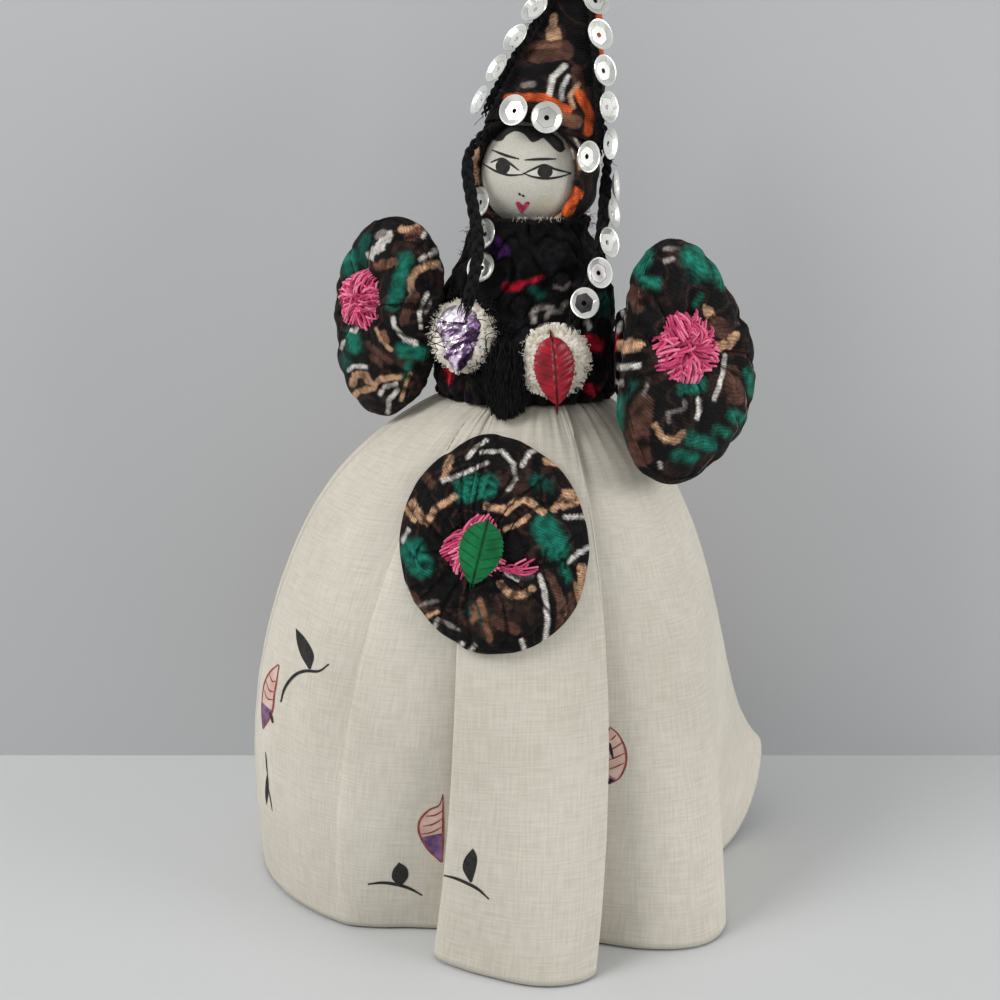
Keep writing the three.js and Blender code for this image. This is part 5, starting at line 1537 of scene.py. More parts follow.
# %% Apron flower
flower_seat = seat_on(on_panel(*APRON_FLOWER, APRON_THICK - 1.0), Vector((0, -1, 0.25)))
APRON_PETALS = [(100, 80, 1.0), (40, 60, 0.85), (160, 80, 1.02), (220, 80, 1.0), (290, 70, 0.95),
                (345, 70, 0.95)]
TAILS, TAIL_THREAD = 9, 0.42
apron_flower = thread_flower(7.0, 2.4, APRON_PETALS, flower_seat, 0.48, 10)
tails = []
for _ in range(TAILS):
    bend = luck.uniform(-1.6, 1.6)
    reach = luck.uniform(8.5, 12)
    knots = [(4, -3.6, 1.5), (6.5, -3.4 + bend * 0.3, 1.9), (reach * 0.8, -3.6 + bend * 0.7, 1.6),
             (reach, -2.6 + bend, 0.8)]
    tails.append(smooth_line([Vector(knot) + scatter(0.5) for knot in knots], 0.5))
spin_threads(apron_flower, tails, TAIL_THREAD, matrix=flower_seat)
show("pink_flower_apron", apron_flower, [PINK, PINK_SHADOW], "torso", ["apron_flower"])

# %% [markdown]
# On the flower lies a flocked green leaf. A leaf is a grid pinched to a point at one end: its edge is
# notched, its midrib pressed in and its side veins are low ridges. The midrib and the veins are also darker,
# painted shade in those folds, which an attribute tells the finish.

# %% Green leaf
SIDE_VEINS, VEIN_SLANT = 6.5, 0.9
MIDRIB, VEIN_SHADE = 0.3, 0.7


def face_up(bm):
    """Turns the faces of an open sheet so that they look along +Z."""
    bmesh.ops.recalc_face_normals(bm, faces=bm.faces)
    if sum(f.normal.z for f in bm.faces) < 0:
        bmesh.ops.reverse_faces(bm, faces=bm.faces)


def leaf_grid(length, width, thickness, dome, notches, seat, vein):
    """A leaf with its tip along -Y. Its base is round and its sides are notched."""
    def place(u, v):
        across = u * 2 - 1
        aside = abs(across)
        edge = math.sin(math.pi * v ** 0.8) ** 0.62 if 0 < v < 1 else 0.0
        saw = 1 + 0.09 * ((v * notches) % 1 - 0.5) * (aside > 0.9)
        ridge = math.sin((v * SIDE_VEINS + aside * VEIN_SLANT) * math.pi * 2) * vein
        ridge *= (1 - aside) ** 0.5 * aside ** 0.3
        z = dome * (1 - across * across) * edge - vein * 1.6 * math.exp(-(across / 0.09) ** 2)
        return mm(across * width / 2 * edge * saw, length * (0.5 - v), z + ridge * edge)

    bm = cloth_grid(48, 84, place, (width * MM, length * MM))
    face_up(bm)
    bmesh.ops.solidify(bm, geom=list(bm.faces), thickness=thickness * MM)
    # Darker along the midrib and the veins: painted shade.
    veins = bm.verts.layers.float_color.new("print")
    for vert in bm.verts:
        x, y, _ = vert.co / MM
        aside = abs(x) / (width / 2)
        line = math.cos(((0.5 - y / length) * SIDE_VEINS + aside * VEIN_SLANT) * TURN)
        dark = max(math.exp(-(x / MIDRIB) ** 2), 0.8 * max(0, line) ** 5 * min(1, 4 * aside))
        vert[veins] = (*[1 - VEIN_SHADE * dark] * 3, 1)
    bmesh.ops.transform(bm, matrix=seat, verts=bm.verts)
    return bm


flock = Dye("green_flock", 0.95, Sheen_Weight=0.12, Specular_IOR_Level=0.2)
tone = flock.noise(260, 3)
green = flock.fade(tone, (0.002, 0.075, 0.02), (0.008, 0.20, 0.06))
# The veins' painted shade darkens the green.
flock.color(flock.mix(1, green, flock.printed(), "MULTIPLY"))
FLOCK = flock.bump(flock.math("ADD", flock.noise(1500, 3), tone), 0.5, 0.25).material
leaf_seat = flower_seat @ Matrix.Translation(mm(0.4, -0.4, 3.1)) @ turned(-14, "Z")
green_leaf = leaf_grid(12.1, 8.3, 0.5, 0.9, 15, leaf_seat, 0.14)
show("flock_leaf", green_leaf, [FLOCK], "torso", ["apron_leaf"])

# %% [markdown]
# The chest holds two rosettes of cream wool. Each is a lumpy pad of wool with short thick loops all
# over it and loose fibres that stand out of its rim. A fur texture would stop at the pad's outline,
# and here the outline is what shows against the black.

# %% Wool rosettes
ROSETTES = {"left": (-12.0, 121.0), "right": (5.5, 116.8)}
LUMP_SEEDS = {"left": 4, "right": 6}
ROSETTE_RADIUS, ROSETTE_HEIGHT = 6.7, 3.8
WOOL_LOOPS, WOOL_THREAD, WOOL_FIBRES, WOOL_FIBRE = 320, 0.8, 1100, 0.11
# Where a loop has its points, and how high it arches there.
LOOP_STEPS = ((-1, 0), (-0.5, 0.35), (0, 0.5), (0.5, 0.35), (1, 0))
# Rays that find the slope of the chest start at these places round a rosette's middle.
SLOPE_RAYS = ((0, 0), (-4, 0), (4, 0), (0, -4), (0, 4))

wool = Dye("cream_wool", 0.95, Sheen_Weight=0.15)
tangle = wool.noise(650, 4)
shade = wool.math("ADD", wool.math("MULTIPLY", wool.tint(), 0.35), tangle)
wool.color(wool.ramp(shade, [(0.35, (0.76, 0.67, 0.53)), (0.6, (0.90, 0.83, 0.70)),
                             (0.85, (0.97, 0.94, 0.87))]))
CREAM_WOOL = wool.bump(tangle, 0.7, 0.35).material


def chest_seat(x, z, sink=0.4, forward=0.55):
    """A seat on the bodice's front at x, z, in millimetres, turned that share towards the front."""
    spots = [front_of(bodice_tree, x + dx, z + dz) for dx, dz in SLOPE_RAYS]
    normal = (spots[2] - spots[1]).cross(spots[4] - spots[3]).normalized()
    normal = normal.lerp(Vector((0, -1, 0.1)), forward)
    return seat_on(sum(spots, Vector()) / len(spots) - normal.normalized() * sink * MM, normal)


def wool_loop():
    a, r = luck.uniform(0, TURN), ROSETTE_RADIUS * luck.uniform(0.3, 1) ** 0.5
    top = ROSETTE_HEIGHT * 0.8 * max(0.1, 1 - (r / ROSETTE_RADIUS) ** 4) ** 0.5
    toward, half_run = luck.uniform(0, TURN), luck.uniform(0.5, 1.2)
    line = []
    for s, arch in LOOP_STEPS:
        x = r * math.cos(a) + s * half_run * math.cos(toward)
        y = r * math.sin(a) + s * half_run * math.sin(toward)
        line.append((x, y, top - 0.35 + arch * luck.uniform(0.6, 1)))
    return line


def rim_root():
    a, r = luck.uniform(0, TURN), luck.uniform(4.5, 6.6)
    return r * math.cos(a), r * math.sin(a), luck.uniform(0.3, 2.6)


def rim_tip(root):
    return root + Vector((root.x, root.y, luck.uniform(-1, 5))).normalized() * luck.uniform(0.5, 1.3)


rosette_seats = {side: chest_seat(*place) for side, place in ROSETTES.items()}
for side, seat in rosette_seats.items():
    def pad_point(x, y, z):
        lump = 1 + 0.10 * ripple(x * 6, y * 6, z * 4, 2.2, LUMP_SEEDS[side])
        wide, high = ROSETTE_RADIUS * 0.9 * lump, ROSETTE_HEIGHT * 0.82 * lump
        return mm(x * wide, y * wide, max(z, -0.1) * high)

    bm = half_ball(48, 24, pad_point)
    spin_threads(bm, [wool_loop() for _ in range(WOOL_LOOPS)], WOOL_THREAD)
    spin_threads(bm, fibres(WOOL_FIBRES, rim_root, rim_tip, 0.7), WOOL_FIBRE, fat=0, taper=0.5)
    bmesh.ops.transform(bm, matrix=seat, verts=bm.verts)
    show("wool_rosette_" + side, bm, [CREAM_WOOL], "torso", ["rosette_" + side])

# %% [markdown]
# The left rosette carries a scrap of lilac foil. Foil creases in straight sharp ridges, so a fine disc is
# pushed up by the distance to random crease lines, and its faces stay flat. Each facet is its own small
# mirror, and its colour is a painted reflection as well: lighter the more it faces a light from the upper
# left, with a little chance in it. The upper left is smoother, as where a thumb has pressed it.

# %% Foil scrap
foil = Dye("lilac_foil", 0.22, Metallic=0.85)
# The foil's colour is the painted reflection that each facet is given below.
LILAC = foil.color(foil.printed()).material
FOIL_PAINTED_SHINE = [(0.0, (0.09, 0.045, 0.12)), (0.35, (0.32, 0.18, 0.37)), (0.55, (0.68, 0.47, 0.72)),
               (0.76, (0.94, 0.74, 0.96)), (1.0, (1.0, 0.94, 1.0))]
FOIL_PAINTED_LIGHT = Vector((-0.55, 0.45, 0.7)).normalized()
FOIL_HALF, FOIL_UP, FOIL_DOWN, FOIL_DOME = 4.3, 5.6, 7.2, 2.0
CREASES = 22
foil_luck = random.Random(4)
creases = []
for _ in range(CREASES):
    a, off = foil_luck.gauss(2.1, 0.6), foil_luck.uniform(-5, 5)
    deep, wide = foil_luck.uniform(0.15, 0.42), foil_luck.uniform(0.5, 1.4)
    creases.append((math.cos(a), math.sin(a), off, deep, wide))


def foil_point(u, v):
    angle = TURN * u
    c, s = math.cos(angle), math.sin(angle)
    x = FOIL_HALF * v * c * (1 + 0.24 * s) * (1 + 0.05 * math.sin(7 * angle))
    y = v * s * (FOIL_UP if s > 0 else FOIL_DOWN)
    z = FOIL_DOME * (1 - v ** 3)
    pressed = y > 2.2 and x < 2
    for across, up, off, deep, wide in creases:
        ridge = max(0, 1 - abs(across * x + up * y - off) / wide)
        z += (deep * ridge - deep * 0.25) * (0.35 if pressed else 1)
    z += 0.3 * ripple(x, y, 0, 1.1, 3) * (0.3 if pressed else 1)
    return mm(x + 0.2 * ripple(x, y, 2, 1.2, 7), y + 0.2 * ripple(x, y, 5, 1.2, 8), z)


foil_bm = cloth_grid(60, 24, foil_point, (0.03, 0.006))
face_up(foil_bm)
bmesh.ops.triangulate(foil_bm, faces=foil_bm.faces)
bmesh.ops.split_edges(foil_bm, edges=foil_bm.edges)
facet = foil_bm.verts.layers.float_color.new("print")
stops, stop_colors = zip(*FOIL_PAINTED_SHINE)
# Each facet's colour is a painted reflection: the more it faces the painted light, the lighter it is.
for face in foil_bm.faces:
    painted_shine = 0.76 + 1.5 * (face.normal.dot(FOIL_PAINTED_LIGHT) - 0.66) + foil_luck.uniform(-0.14, 0.14)
    color = [float(np.interp(painted_shine, stops, channel)) for channel in zip(*stop_colors)]
    for vert in face.verts:
        vert[facet] = (*color, 1)
foil_seat = rosette_seats["left"] @ Matrix.Translation(mm(-0.5, 0.2, 4.0))
bmesh.ops.transform(foil_bm, matrix=foil_seat, verts=foil_bm.verts)
show("lilac_foil_scrap", foil_bm, [LILAC], "torso", ["foil_scrap"], smooth=False)

# %% [markdown]
# The right rosette carries a red leaf of glossy film. It is the same leaf as the green one, longer and
# more domed, under a thin clear coat.

# %% Red leaf
red = Dye("red_film", 0.4, Coat_Weight=0.15, Coat_Roughness=0.25, Specular_IOR_Level=0.3)
scarlet = red.fade(red.noise(420, 3), (0.18, 0.002, 0.008), (0.42, 0.004, 0.02))
# The veins' painted shade darkens the red too.
red.color(red.mix(1, scarlet, red.printed(), "MULTIPLY"))
RED = red.bump(red.noise(800, 2), 0.25, 0.12).material
red_seat = rosette_seats["right"] @ Matrix.Translation(mm(-0.6, -1.5, 5.0))
red_seat = red_seat @ turned(4, "Z") @ turned(-6, "X")
red_leaf = leaf_grid(13.2, 8.0, 0.4, 1.2, 15, red_seat, 0.22)
show("red_film_leaf", red_leaf, [RED], "torso", ["leaf_red"])

# %% [markdown]
# Between the rosettes hangs a tuft of unspun black yarn that reaches over the waist. Its fibres start
# together at the chest, swell and end in a blunt brush, and some stray over the cloth round it.

# %% Chest tuft
TUFT_X, TUFT_FOOT, TUFT_HALF = -4.0, 105.4, 3.2
TUFT_FIBRES, TUFT_FIBRE = 820, 0.25
STRAY_TRIES, STRAY_FIBRE = 240, 0.16
STRAY_LEFT, STRAY_LOW, STRAY_HIGH = -18, 110, 131


def tuft_ground(z):
    """How far forward the cloth under the tuft is at a height: the bodice's, or the skirt's lower down."""
    chest = front_of(bodice_tree, TUFT_X, max(z, 109)).y
    lap = front_of(skirt_tree, TUFT_X, min(z, 107)).y if z < 110 else 0
    return min(chest, lap) / MM


tuft_lines = []
for _ in range(TUFT_FIBRES):
    aside = max(-TUFT_HALF, min(TUFT_HALF, luck.gauss(0, 1.5)))
    depth = luck.uniform(0, 2.6)
    foot = TUFT_FOOT + abs(luck.gauss(0, 1.0)) + 0.12 * aside ** 2
    knots = []
    for z in np.linspace(luck.uniform(112, 121), foot, 5):
        wave = Vector((luck.uniform(-0.9, 0.9), luck.uniform(-0.5, 0.4), 0))
        knots.append(Vector((TUFT_X + aside, tuft_ground(z) - 0.5 - depth * 0.8, z)) + wave)
    tuft_lines.append(smooth_line(knots, 1.2))
tuft = spin_threads(bmesh.new(), tuft_lines, TUFT_FIBRE, fat=0, taper=0.6)


def stray_tip(root):
    return root + Vector((luck.uniform(-3, 3), luck.uniform(-2, -0.6), luck.uniform(-3, 3)))


strays = []
for _ in range(STRAY_TRIES):
    a, far = luck.uniform(0, TURN), luck.uniform(5.5, 9)
    x, z = ROSETTES["left"][0] + far * math.cos(a), ROSETTES["left"][1] + far * math.sin(a)
    if x > STRAY_LEFT and STRAY_LOW < z < STRAY_HIGH:
        root = front_of(bodice_tree, x, z) / MM
        strays += fibres(1, lambda: root, stray_tip, 1.2, 8)
spin_threads(tuft, strays, STRAY_FIBRE, fat=0)
show("yarn_tuft", tuft, [BLACK_YARN], "torso", ["chest_tuft"])

# %% [markdown]
# Under the cloth, the wadding, rag core and neck are soft too. Each is a merged copy of its CAD solid,
# remeshed to an even skin and roughened by noise, drawn in a little so that it stays inside its cover.

# %% Hidden stuffing
DRAWN_BACK = 0.25


def stuffed(node_name, piece_name, finish, body, voxel, rough):
    bm = bmesh.new()
    bm.from_mesh(nodes[node_name].data)
    bmesh.ops.transform(bm, matrix=nodes[node_name].matrix_world, verts=bm.verts)
    bmesh.ops.remove_doubles(bm, verts=bm.verts, dist=WELD)
    piece = show(piece_name, bm, [finish], body, [node_name])
    even = piece.modifiers.new("even", "REMESH")
    even.mode = "VOXEL"
    even.voxel_size = voxel * MM
    skin = finished_mesh(piece)
    piece.modifiers.remove(even)
    worn = bmesh.new()
    worn.from_mesh(skin)
    for vert in worn.verts:
        lump = 0.5 + 0.5 * ripple(*vert.co / MM, 5, 3)
        vert.co -= vert.normal * (DRAWN_BACK + rough * lump) * MM
    for face in worn.faces:
        face.smooth = True
    worn.to_mesh(piece.data)
    worn.free()
    bpy.data.meshes.remove(skin)
    return piece


stuffed("rag_core", "rolled_rag_core", RAG, "torso", 2.4, 1.2)
stuffed("torso_wadding", "chest_wadding", WADDING, "torso", 1.2, 0.6)
stuffed("hat_core", "hat_wadding", WADDING, "head", 1.1, 0.5)
stuffed("neck_stub", "neck_wadding", WADDING, "neck", 0.7, 0.2)

# %% [markdown]
# Card, stick and windings keep their CAD shape, which is already the real one, and only get a finish.

# %% Card, stick and windings
pulp = Dye("grey_card", 0.95)
pulp.color(pulp.fade(pulp.noise(300, 4), (0.25, 0.21, 0.16), (0.36, 0.31, 0.24)))
PULP = pulp.bump(pulp.noise(900, 3), 0.3, 0.1).material
wood = Dye("pine_stick", 0.6)
grain = wood.noise(220, 4, wood.shift(wood.place, (1, 1, 0.06)), 0.6)
wood.color(wood.fade(grain, (0.42, 0.26, 0.12), (0.60, 0.42, 0.23), 0.35, 0.65))
WOOD = wood.bump(grain, 0.3, 0.2).material
wound = Dye("wound_thread", 0.7, Sheen_Weight=0.2)
turns = wound.ribs(0.45, wound.shift(wound.place, rotation=(0, 90, 0)), 0.6)
wound.color(wound.fade(turns, (0.25, 0.22, 0.17), (0.6, 0.55, 0.45), 0.2, 0.8))
WOUND = wound.bump(turns, 0.7, 0.2).material
KEPT = {"base_card": PULP, "spine_stick": WOOD, "waist_thread": WOUND, "neck_thread": WOUND}
for name, finish in KEPT.items():
    nodes[name].data.materials.clear()
    nodes[name].data.materials.append(finish)
print("kept CAD nodes:", ", ".join(KEPT))

# %% [markdown]
# The face and the fruit and sprigs on the skirt are painted. A texture would need an image, so paint is
# a thin skin: a small grid is laid over the photograph's own pixels, and each of its points is sent
# along the camera's line of sight until it meets the cloth. Parts that would hang over an edge are cut.

# %% Painting on cloth
PAINT_ROW, PAINT_COLUMN = 1.2, 1.5
TORN = 2.5


def edge_points(points, count):
    """So many evenly spaced pixel positions on a smooth line through points."""
    line = [Vector((x, y, 0)) for x, y in points]
    line = smooth_line(line, 0.3) if len(line) > 2 else line
    run = [0.0]
    for a, b in zip(line, line[1:]):
        run.append(run[-1] + (b - a).length)
    at = np.linspace(0, run[-1], count)
    return np.stack([np.interp(at, run, [p[k] for p in line]) for k in (0, 1)], 1)


def from_camera(px, py):
    """The ray from the camera through a pixel of the photograph: where it starts and which way it goes."""
    return EYE, SIGHT @ Vector(((px - PHOTO_HALF) / FOCAL, (PHOTO_HALF - py) / FOCAL, -1))


def pixel_run(points):
    return sum(math.dist(a, b) for a, b in zip(points, points[1:]))


def paint(bm, tree, left, right, lift=0.09, finish=0, ray=from_camera):
    """Lays a band of paint between two lines of photograph pixels, lifted so many millimetres."""
    rows = max(2, round(max(pixel_run(left), pixel_run(right)) / PAINT_ROW))
    a, b = edge_points(left, rows + 1), edge_points(right, rows + 1)
    columns = max(1, round(float(np.linalg.norm(a - b, axis=1).max()) / PAINT_COLUMN))
    first = len(bm.faces)
    made = bmesh.ops.create_grid(bm, x_segments=columns, y_segments=rows, size=0.5)["verts"]
    lost = []
    for vert in made:
        row, share = round((vert.co.y + 0.5) * rows), vert.co.x + 0.5
        eye, look = ray(*(a[row] + (b[row] - a[row]) * share))
        spot, normal, _, _ = tree.ray_cast(eye, look)
        if spot:
            vert.co = spot + (normal if normal.dot(look) < 0 else -normal) * lift * MM
        else:
            lost.append(vert)
    bmesh.ops.delete(bm, geom=lost, context="VERTS")
    bm.faces.ensure_lookup_table()
    fresh = bm.faces[first:]
    for face in fresh:
        face.material_index = finish
    torn = [f for f in fresh if max(e.calc_length() for e in f.edges) > TORN * MM]
    bmesh.ops.delete(bm, geom=torn, context="FACES")


def stroke(points, width):
    """The two edges of a brush stroke of that width along a line, in pixels. Its ends are thin."""
    count = max(6, round(pixel_run(points) / 2))
    line = edge_points(points, count)
    way = np.gradient(line, axis=0)
    across = np.stack([-way[:, 1], way[:, 0]], 1) / np.maximum(np.linalg.norm(way, axis=1), 1e-6)[:, None]
    half = width / 2 * np.clip(np.sin(math.pi * np.linspace(0, 1, count)), 0.25, 1) ** 0.5
    return (line - across * half[:, None]).tolist(), (line + across * half[:, None]).tolist()


def dyed(name, dark, light, grain=900):
    """A paint or ink that varies between two colours."""
    dye = Dye(name, 0.85)
    soak = dye.noise(grain, 3)
    return dye.color(dye.fade(soak, dark, light, 0.35, 0.65)).bump(soak, 0.3, 0.08).material


INK = dyed("black_ink", (0.006, 0.006, 0.006), (0.022, 0.02, 0.018))
EYE_WHITE = dyed("eye_white", (0.60, 0.58, 0.52), (0.70, 0.68, 0.63))
LIP = dyed("lip_paint", (0.33, 0.012, 0.05), (0.62, 0.06, 0.13))
print("paints for the face:", INK.name, EYE_WHITE.name, LIP.name)

# %% [markdown]
# The face is the plain one that such dolls have: two brows, two long eyes drawn in ink, two dots for a
# nose, a heart for a mouth, and a scalloped fringe. The whites lie lowest, the pupils above them and the
# lids above both, so that no two skins of paint share a place.

# %% The painted face
BROWS = [[(492, 150), (506, 155.5), (519, 159)], [(525, 160), (540, 159.2), (556, 159)]]
# Each white: its upper and its lower edge. Each pupil: its middle, and half its width and height.
WHITES = [([(484, 164), (492, 162), (502.5, 159), (511, 164), (522, 174)],
           [(484, 164), (490, 168), (497, 171.5), (509, 175), (522, 174)]),
          ([(524, 173.5), (532, 169.5), (544, 165), (555, 169), (569, 173)],
           [(524, 173.5), (533, 176.5), (546, 178.3), (559, 176.8), (569, 173)])]
PUPILS = [(503, 166.6, 7.2, 7.6), (545, 171.8, 7.6, 6.3)]
# Each lid: its width and its line.
LIDS = [(2.6, [(491, 162.5), (497, 160), (503, 159), (510, 163.5), (519, 170.5)]),
        (2.4, [(483, 163.5), (490, 167.8), (497, 171.5), (509, 175), (523, 174.5)]),
        (2.6, [(523, 174), (532, 169.7), (544, 165.2), (555, 169.2), (571, 173.2)]),
        (2.4, [(523, 173), (533, 176.7), (546, 178.5), (559, 176.9), (571, 173.4)])]
NOSE_DOTS = [(519.7, 194), (523.3, 195.7)]
MOUTH = ([(515.5, 203), (517.5, 201.4), (520, 202), (523, 204.8), (526, 202), (528.5, 201.4), (530, 203)],
         [(515.5, 203), (517, 206.5), (519, 210), (521.6, 213.4), (524.6, 210), (528, 206.5), (530, 203)])
FRINGE = ([(490.5, 133), (494, 129), (501, 127), (518, 125.5), (541, 128), (553, 134), (561.6, 141),
           (565, 148.8)],
          [(491, 135.8), (495.7, 141), (502.4, 140.4), (506.7, 135.3), (515.4, 131.5), (524, 134.4),
           (531.3, 141.8), (537, 141.2), (542.8, 138.2), (547.2, 141.6), (555.8, 150.3), (561, 152.3),
           (565, 149.5)])

face_bm = bmesh.new()
for line in BROWS:
    paint(face_bm, head_tree, *stroke(line, 2.7), 0.07)
for upper, lower in WHITES:
    paint(face_bm, head_tree, upper, lower, 0.04, 1)
for x, y, wide, tall in PUPILS:
    half_turn = np.linspace(0, math.pi, 15)
    upper = [(x - wide * math.cos(a), y - tall * math.sin(a)) for a in half_turn]
    lower = [(x - wide * math.cos(a), y + tall * math.sin(a)) for a in half_turn]
    paint(face_bm, head_tree, upper, lower, 0.07)
for width, line in LIDS:
    paint(face_bm, head_tree, *stroke(line, width))
for x, y in NOSE_DOTS:
    paint(face_bm, head_tree, *stroke([(x - 1.2, y - 0.9), (x, y), (x + 1.1, y + 1)], 2.4))
paint(face_bm, head_tree, *MOUTH, 0.07, 2)
paint(face_bm, head_tree, *FRINGE)
show("painted_face", face_bm, [INK, EYE_WHITE, LIP], "head")

# %% [markdown]
# One fruit and one sprig go round the skirt's left side, where the camera's rays only graze the cloth
# and paint would smear. They are laid on square to the cloth there. A pixel then covers less of the
# cloth than it shows, so the drawing is stretched a little.

# %% Rays to the skirt's side
SIDE_PIXEL, SIDE_STRETCH, SIDE_START = (270, 697), (1.5, 1.2), 0.03
side_spot, side_out, _, side_far = skirt_tree.ray_cast(*from_camera(*SIDE_PIXEL))
side_out = Vector((side_out.x, side_out.y, 0)).normalized()
side_right = UP.cross(side_out)
pixel_size = side_far / FOCAL


def from_side(px, py):
    """The ray square to the skirt's side that meets it where the photograph's pixel does."""
    across = (px - SIDE_PIXEL[0]) * pixel_size * SIDE_STRETCH[0]
    up = (SIDE_PIXEL[1] - py) * pixel_size * SIDE_STRETCH[1]
    return side_spot + side_out * SIDE_START + side_right * across + UP * up, -side_out


print("side fruit at", [round(c / MM, 1) for c in side_spot])

# %% [markdown]
# A sprig is a stem and one leaf in ink. A fruit is a pale wash with a plum foot, two outlines and a
# few hatched lines, and two of the three keep a dark stalk.

# %% Fruit and sprigs on the skirt
FRUIT = dyed("fruit_wash", (0.56, 0.36, 0.30), (0.68, 0.50, 0.43), grain=300)
PLUM = dyed("plum_wash", (0.10, 0.04, 0.13), (0.26, 0.15, 0.28), grain=400)
FRUIT_LINE = dyed("fruit_line", (0.20, 0.03, 0.02), (0.36, 0.08, 0.06))
OUTLINE, HATCH = 2.2, 1.5
# Each sprig: its stem's width and line, the two edges of its leaf, its rays, and a twig where it has one.
SPRIGS = [
    (3.2, [(281, 702), (285, 688), (294, 676), (305, 671), (319, 671), (329, 664)],
     [(296, 628), (297, 641), (301, 655), (309, 669)], [(296, 628), (306, 639), (314, 655), (311, 669)],
     from_camera, None),
    (2, [(268, 746), (270, 756), (272, 765)],
     [(272, 762), (268, 774), (266, 786), (267, 795)], [(272, 762), (273, 772), (271, 784), (267, 795)],
     from_side, [(272, 776), (274, 785), (276, 795)]),
    (3.2, [(368, 884), (382, 882.5), (395, 884), (409, 888), (422, 895)],
     [(399, 862), (393, 870), (392, 878), (397, 884)], [(399, 862), (407, 868), (408, 877), (402, 885)],
     from_camera, None),
    (3.2, [(443, 875), (455, 878), (467, 883), (478, 889), (489, 899)],
     [(473, 848), (465, 858), (463, 869), (470, 882)], [(473, 848), (477, 857), (476, 868), (472, 882)],
     from_camera, None)]
# Each fruit: its two outlines, its plum foot's two, its hatched lines, its rays, and its stalk if any.
FRUITS = [
    ([(276, 667), (266, 677), (257, 691), (255, 704), (258, 718), (262, 728)],
     [(277, 667), (277, 680), (276, 692), (276, 704), (271, 716), (263, 728)],
     [(256, 708), (258, 718), (262, 727)], [(275, 706), (271, 716), (263, 727)],
     [[(260, 688), (268, 692), (276, 690)], [(258, 697), (266, 700), (275, 697)],
      [(265, 680), (271, 683), (276, 681)]],
     from_side, (4, [(272, 709), (275, 712), (277, 716)])),
    ([(443, 794), (439, 805), (429, 810), (420, 820), (419, 832), (427, 848), (441, 862)],
     [(443, 796), (443, 812), (443, 828), (443, 844), (442, 862)],
     [(421, 837), (428, 849), (441, 861)], [(442, 833), (442, 845), (442, 861)],
     [[(423, 826), (433, 824), (443, 818)], [(426, 816), (435, 815), (443, 810)],
      [(421, 834), (432, 832), (443, 826)]],
     from_camera, None),
    ([(609, 727), (609, 745), (608, 765), (608, 784)],
     [(610, 727), (618, 734), (625, 748), (626, 763), (620, 777), (611, 783), (608, 784)],
     [(608, 774), (608, 779), (608, 784)], [(616, 779), (611, 783), (609, 784)],
     [[(609, 750), (614, 748), (623, 742)], [(609, 760), (614, 758), (625, 753)],
      [(609, 769), (615, 767), (624, 763)], [(610, 740), (612, 739), (616, 735)]],
     from_camera, (3, [(610, 743), (611, 750), (613, 758)]))]

sprig_bm = bmesh.new()
for width, stem, left, right, ray, twig in SPRIGS:
    paint(sprig_bm, skirt_tree, *stroke(stem, width), ray=ray)
    paint(sprig_bm, skirt_tree, left, right, ray=ray)
    if twig:
        paint(sprig_bm, skirt_tree, *stroke(twig, 1.6), ray=ray)
for left, right, plum_left, plum_right, hatch, ray, stalk in FRUITS:
    paint(sprig_bm, skirt_tree, left, right, 0.05, 1, ray)
    paint(sprig_bm, skirt_tree, plum_left, plum_right, 0.07, 2, ray)
    for line in (left, right):
        paint(sprig_bm, skirt_tree, *stroke(line, OUTLINE), 0.1, 3, ray)
    for line in hatch:
        paint(sprig_bm, skirt_tree, *stroke(line, HATCH), 0.09, 3, ray)
    if stalk:
        paint(sprig_bm, skirt_tree, *stroke(stalk[1], stalk[0]), 0.11, 0, ray)
show("painted_sprigs", sprig_bm, [INK, FRUIT, PLUM, FRUIT_LINE], "torso")

# %% [markdown]
# The stage is a pale table top and a pale wall close behind, as in the photograph. The wall shows from
# its front only, so that it doesn't hide the doll from behind.

# %% Stage
STAGE_HALF, WALL_BEHIND = 2.5, 0.0485


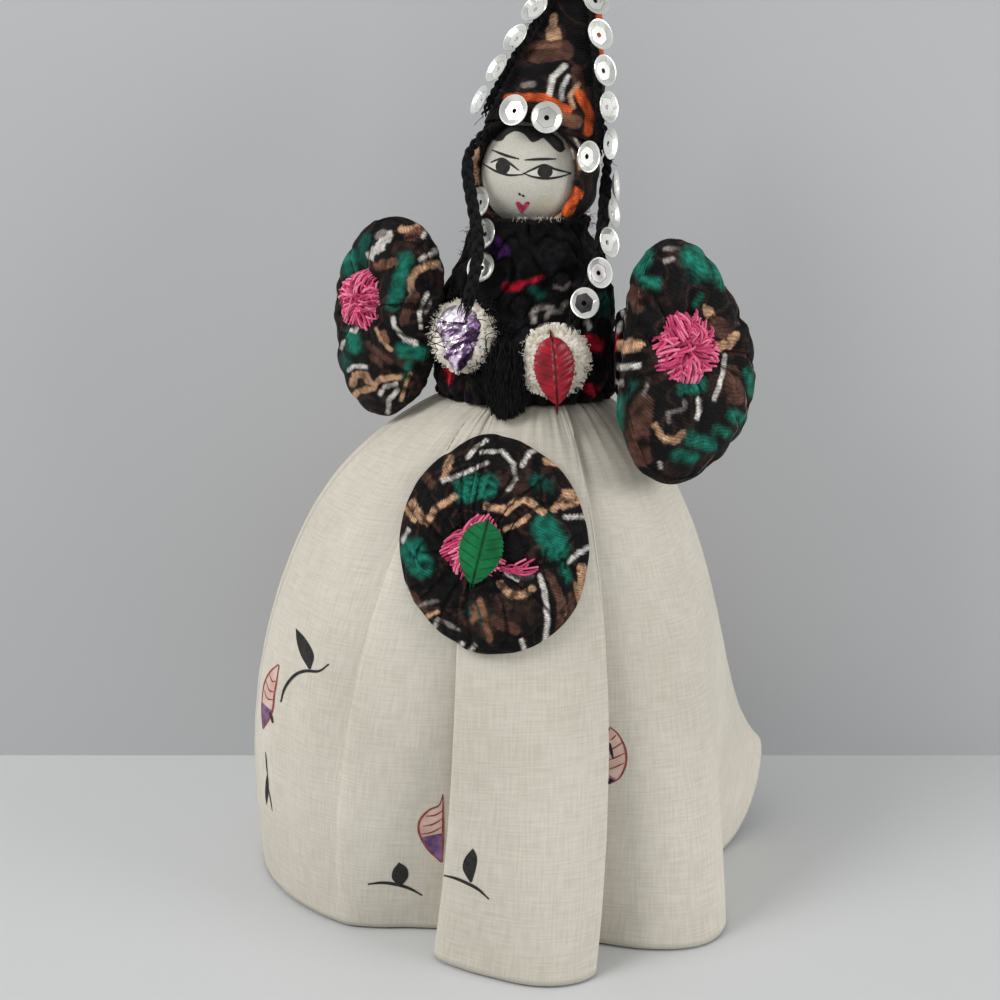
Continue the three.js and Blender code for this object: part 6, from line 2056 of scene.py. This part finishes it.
def stage_sheet(name, place, color):
    dye = Dye(name, 0.6)
    dye.color(dye.fade(dye.noise(6, 2), color, tuple(c * 1.04 for c in color)))
    bm = bmesh.new()
    bmesh.ops.create_grid(bm, x_segments=1, y_segments=1, size=STAGE_HALF)
    bmesh.ops.transform(bm, matrix=place, verts=bm.verts)
    mesh = bpy.data.meshes.new(name)
    bm.to_mesh(mesh)
    bm.free()
    mesh.materials.append(dye.material)
    sheet = bpy.data.objects.new(name, mesh)
    scene.collection.objects.link(sheet)
    return sheet, dye


stage_sheet("table_top", Matrix.Identity(4), (0.60, 0.61, 0.61))
upright = Matrix.Translation((0, WALL_BEHIND, 0)) @ turned(90, "X")
wall, wall_dye = stage_sheet("wall", upright, (0.485, 0.49, 0.50))
clear = wall_dye.node("BsdfTransparent")
behind = wall_dye.node("NewGeometry").node.outputs["Backfacing"]
one_sided = wall_dye.node("MixShader", {0: behind, 1: wall_dye.shader.outputs[0], 2: clear})
wall_dye.tree.links.new(one_sided, wall_dye.tree.nodes["Material Output"].inputs["Surface"])
wall.visible_diffuse = False
wall.visible_shadow = False
print("stage: table top and wall")

# %% [markdown]
# A wide lamp from the upper left, a weaker one from the right and an even grey sky light the doll
# softly, at a level where a colour renders about as it is written.

# %% Light


def lamp(name, place, aim, size, power):
    light = bpy.data.lights.new(name, "AREA")
    light.shape = "DISK"
    light.size = size
    light.energy = power
    holder = bpy.data.objects.new(name, light)
    holder.location = place
    holder.rotation_euler = (Vector(aim) - Vector(place)).to_track_quat("-Z", "Y").to_euler()
    scene.collection.objects.link(holder)


lamp("window", (-0.8, -0.42, 0.75), (0, 0, 0.1), 0.6, 7.2)
lamp("fill", (0.85, -0.34, 0.35), (0, 0, 0.08), 0.5, 3.9)
world = bpy.data.worlds.new("grey_sky")
world.use_nodes = True
scene.world = world
sky = world.node_tree.nodes["Background"].inputs
sky["Color"].default_value = (0.5, 0.505, 0.51, 1)
sky["Strength"].default_value = 1.0
print("light: two lamps and a grey sky")
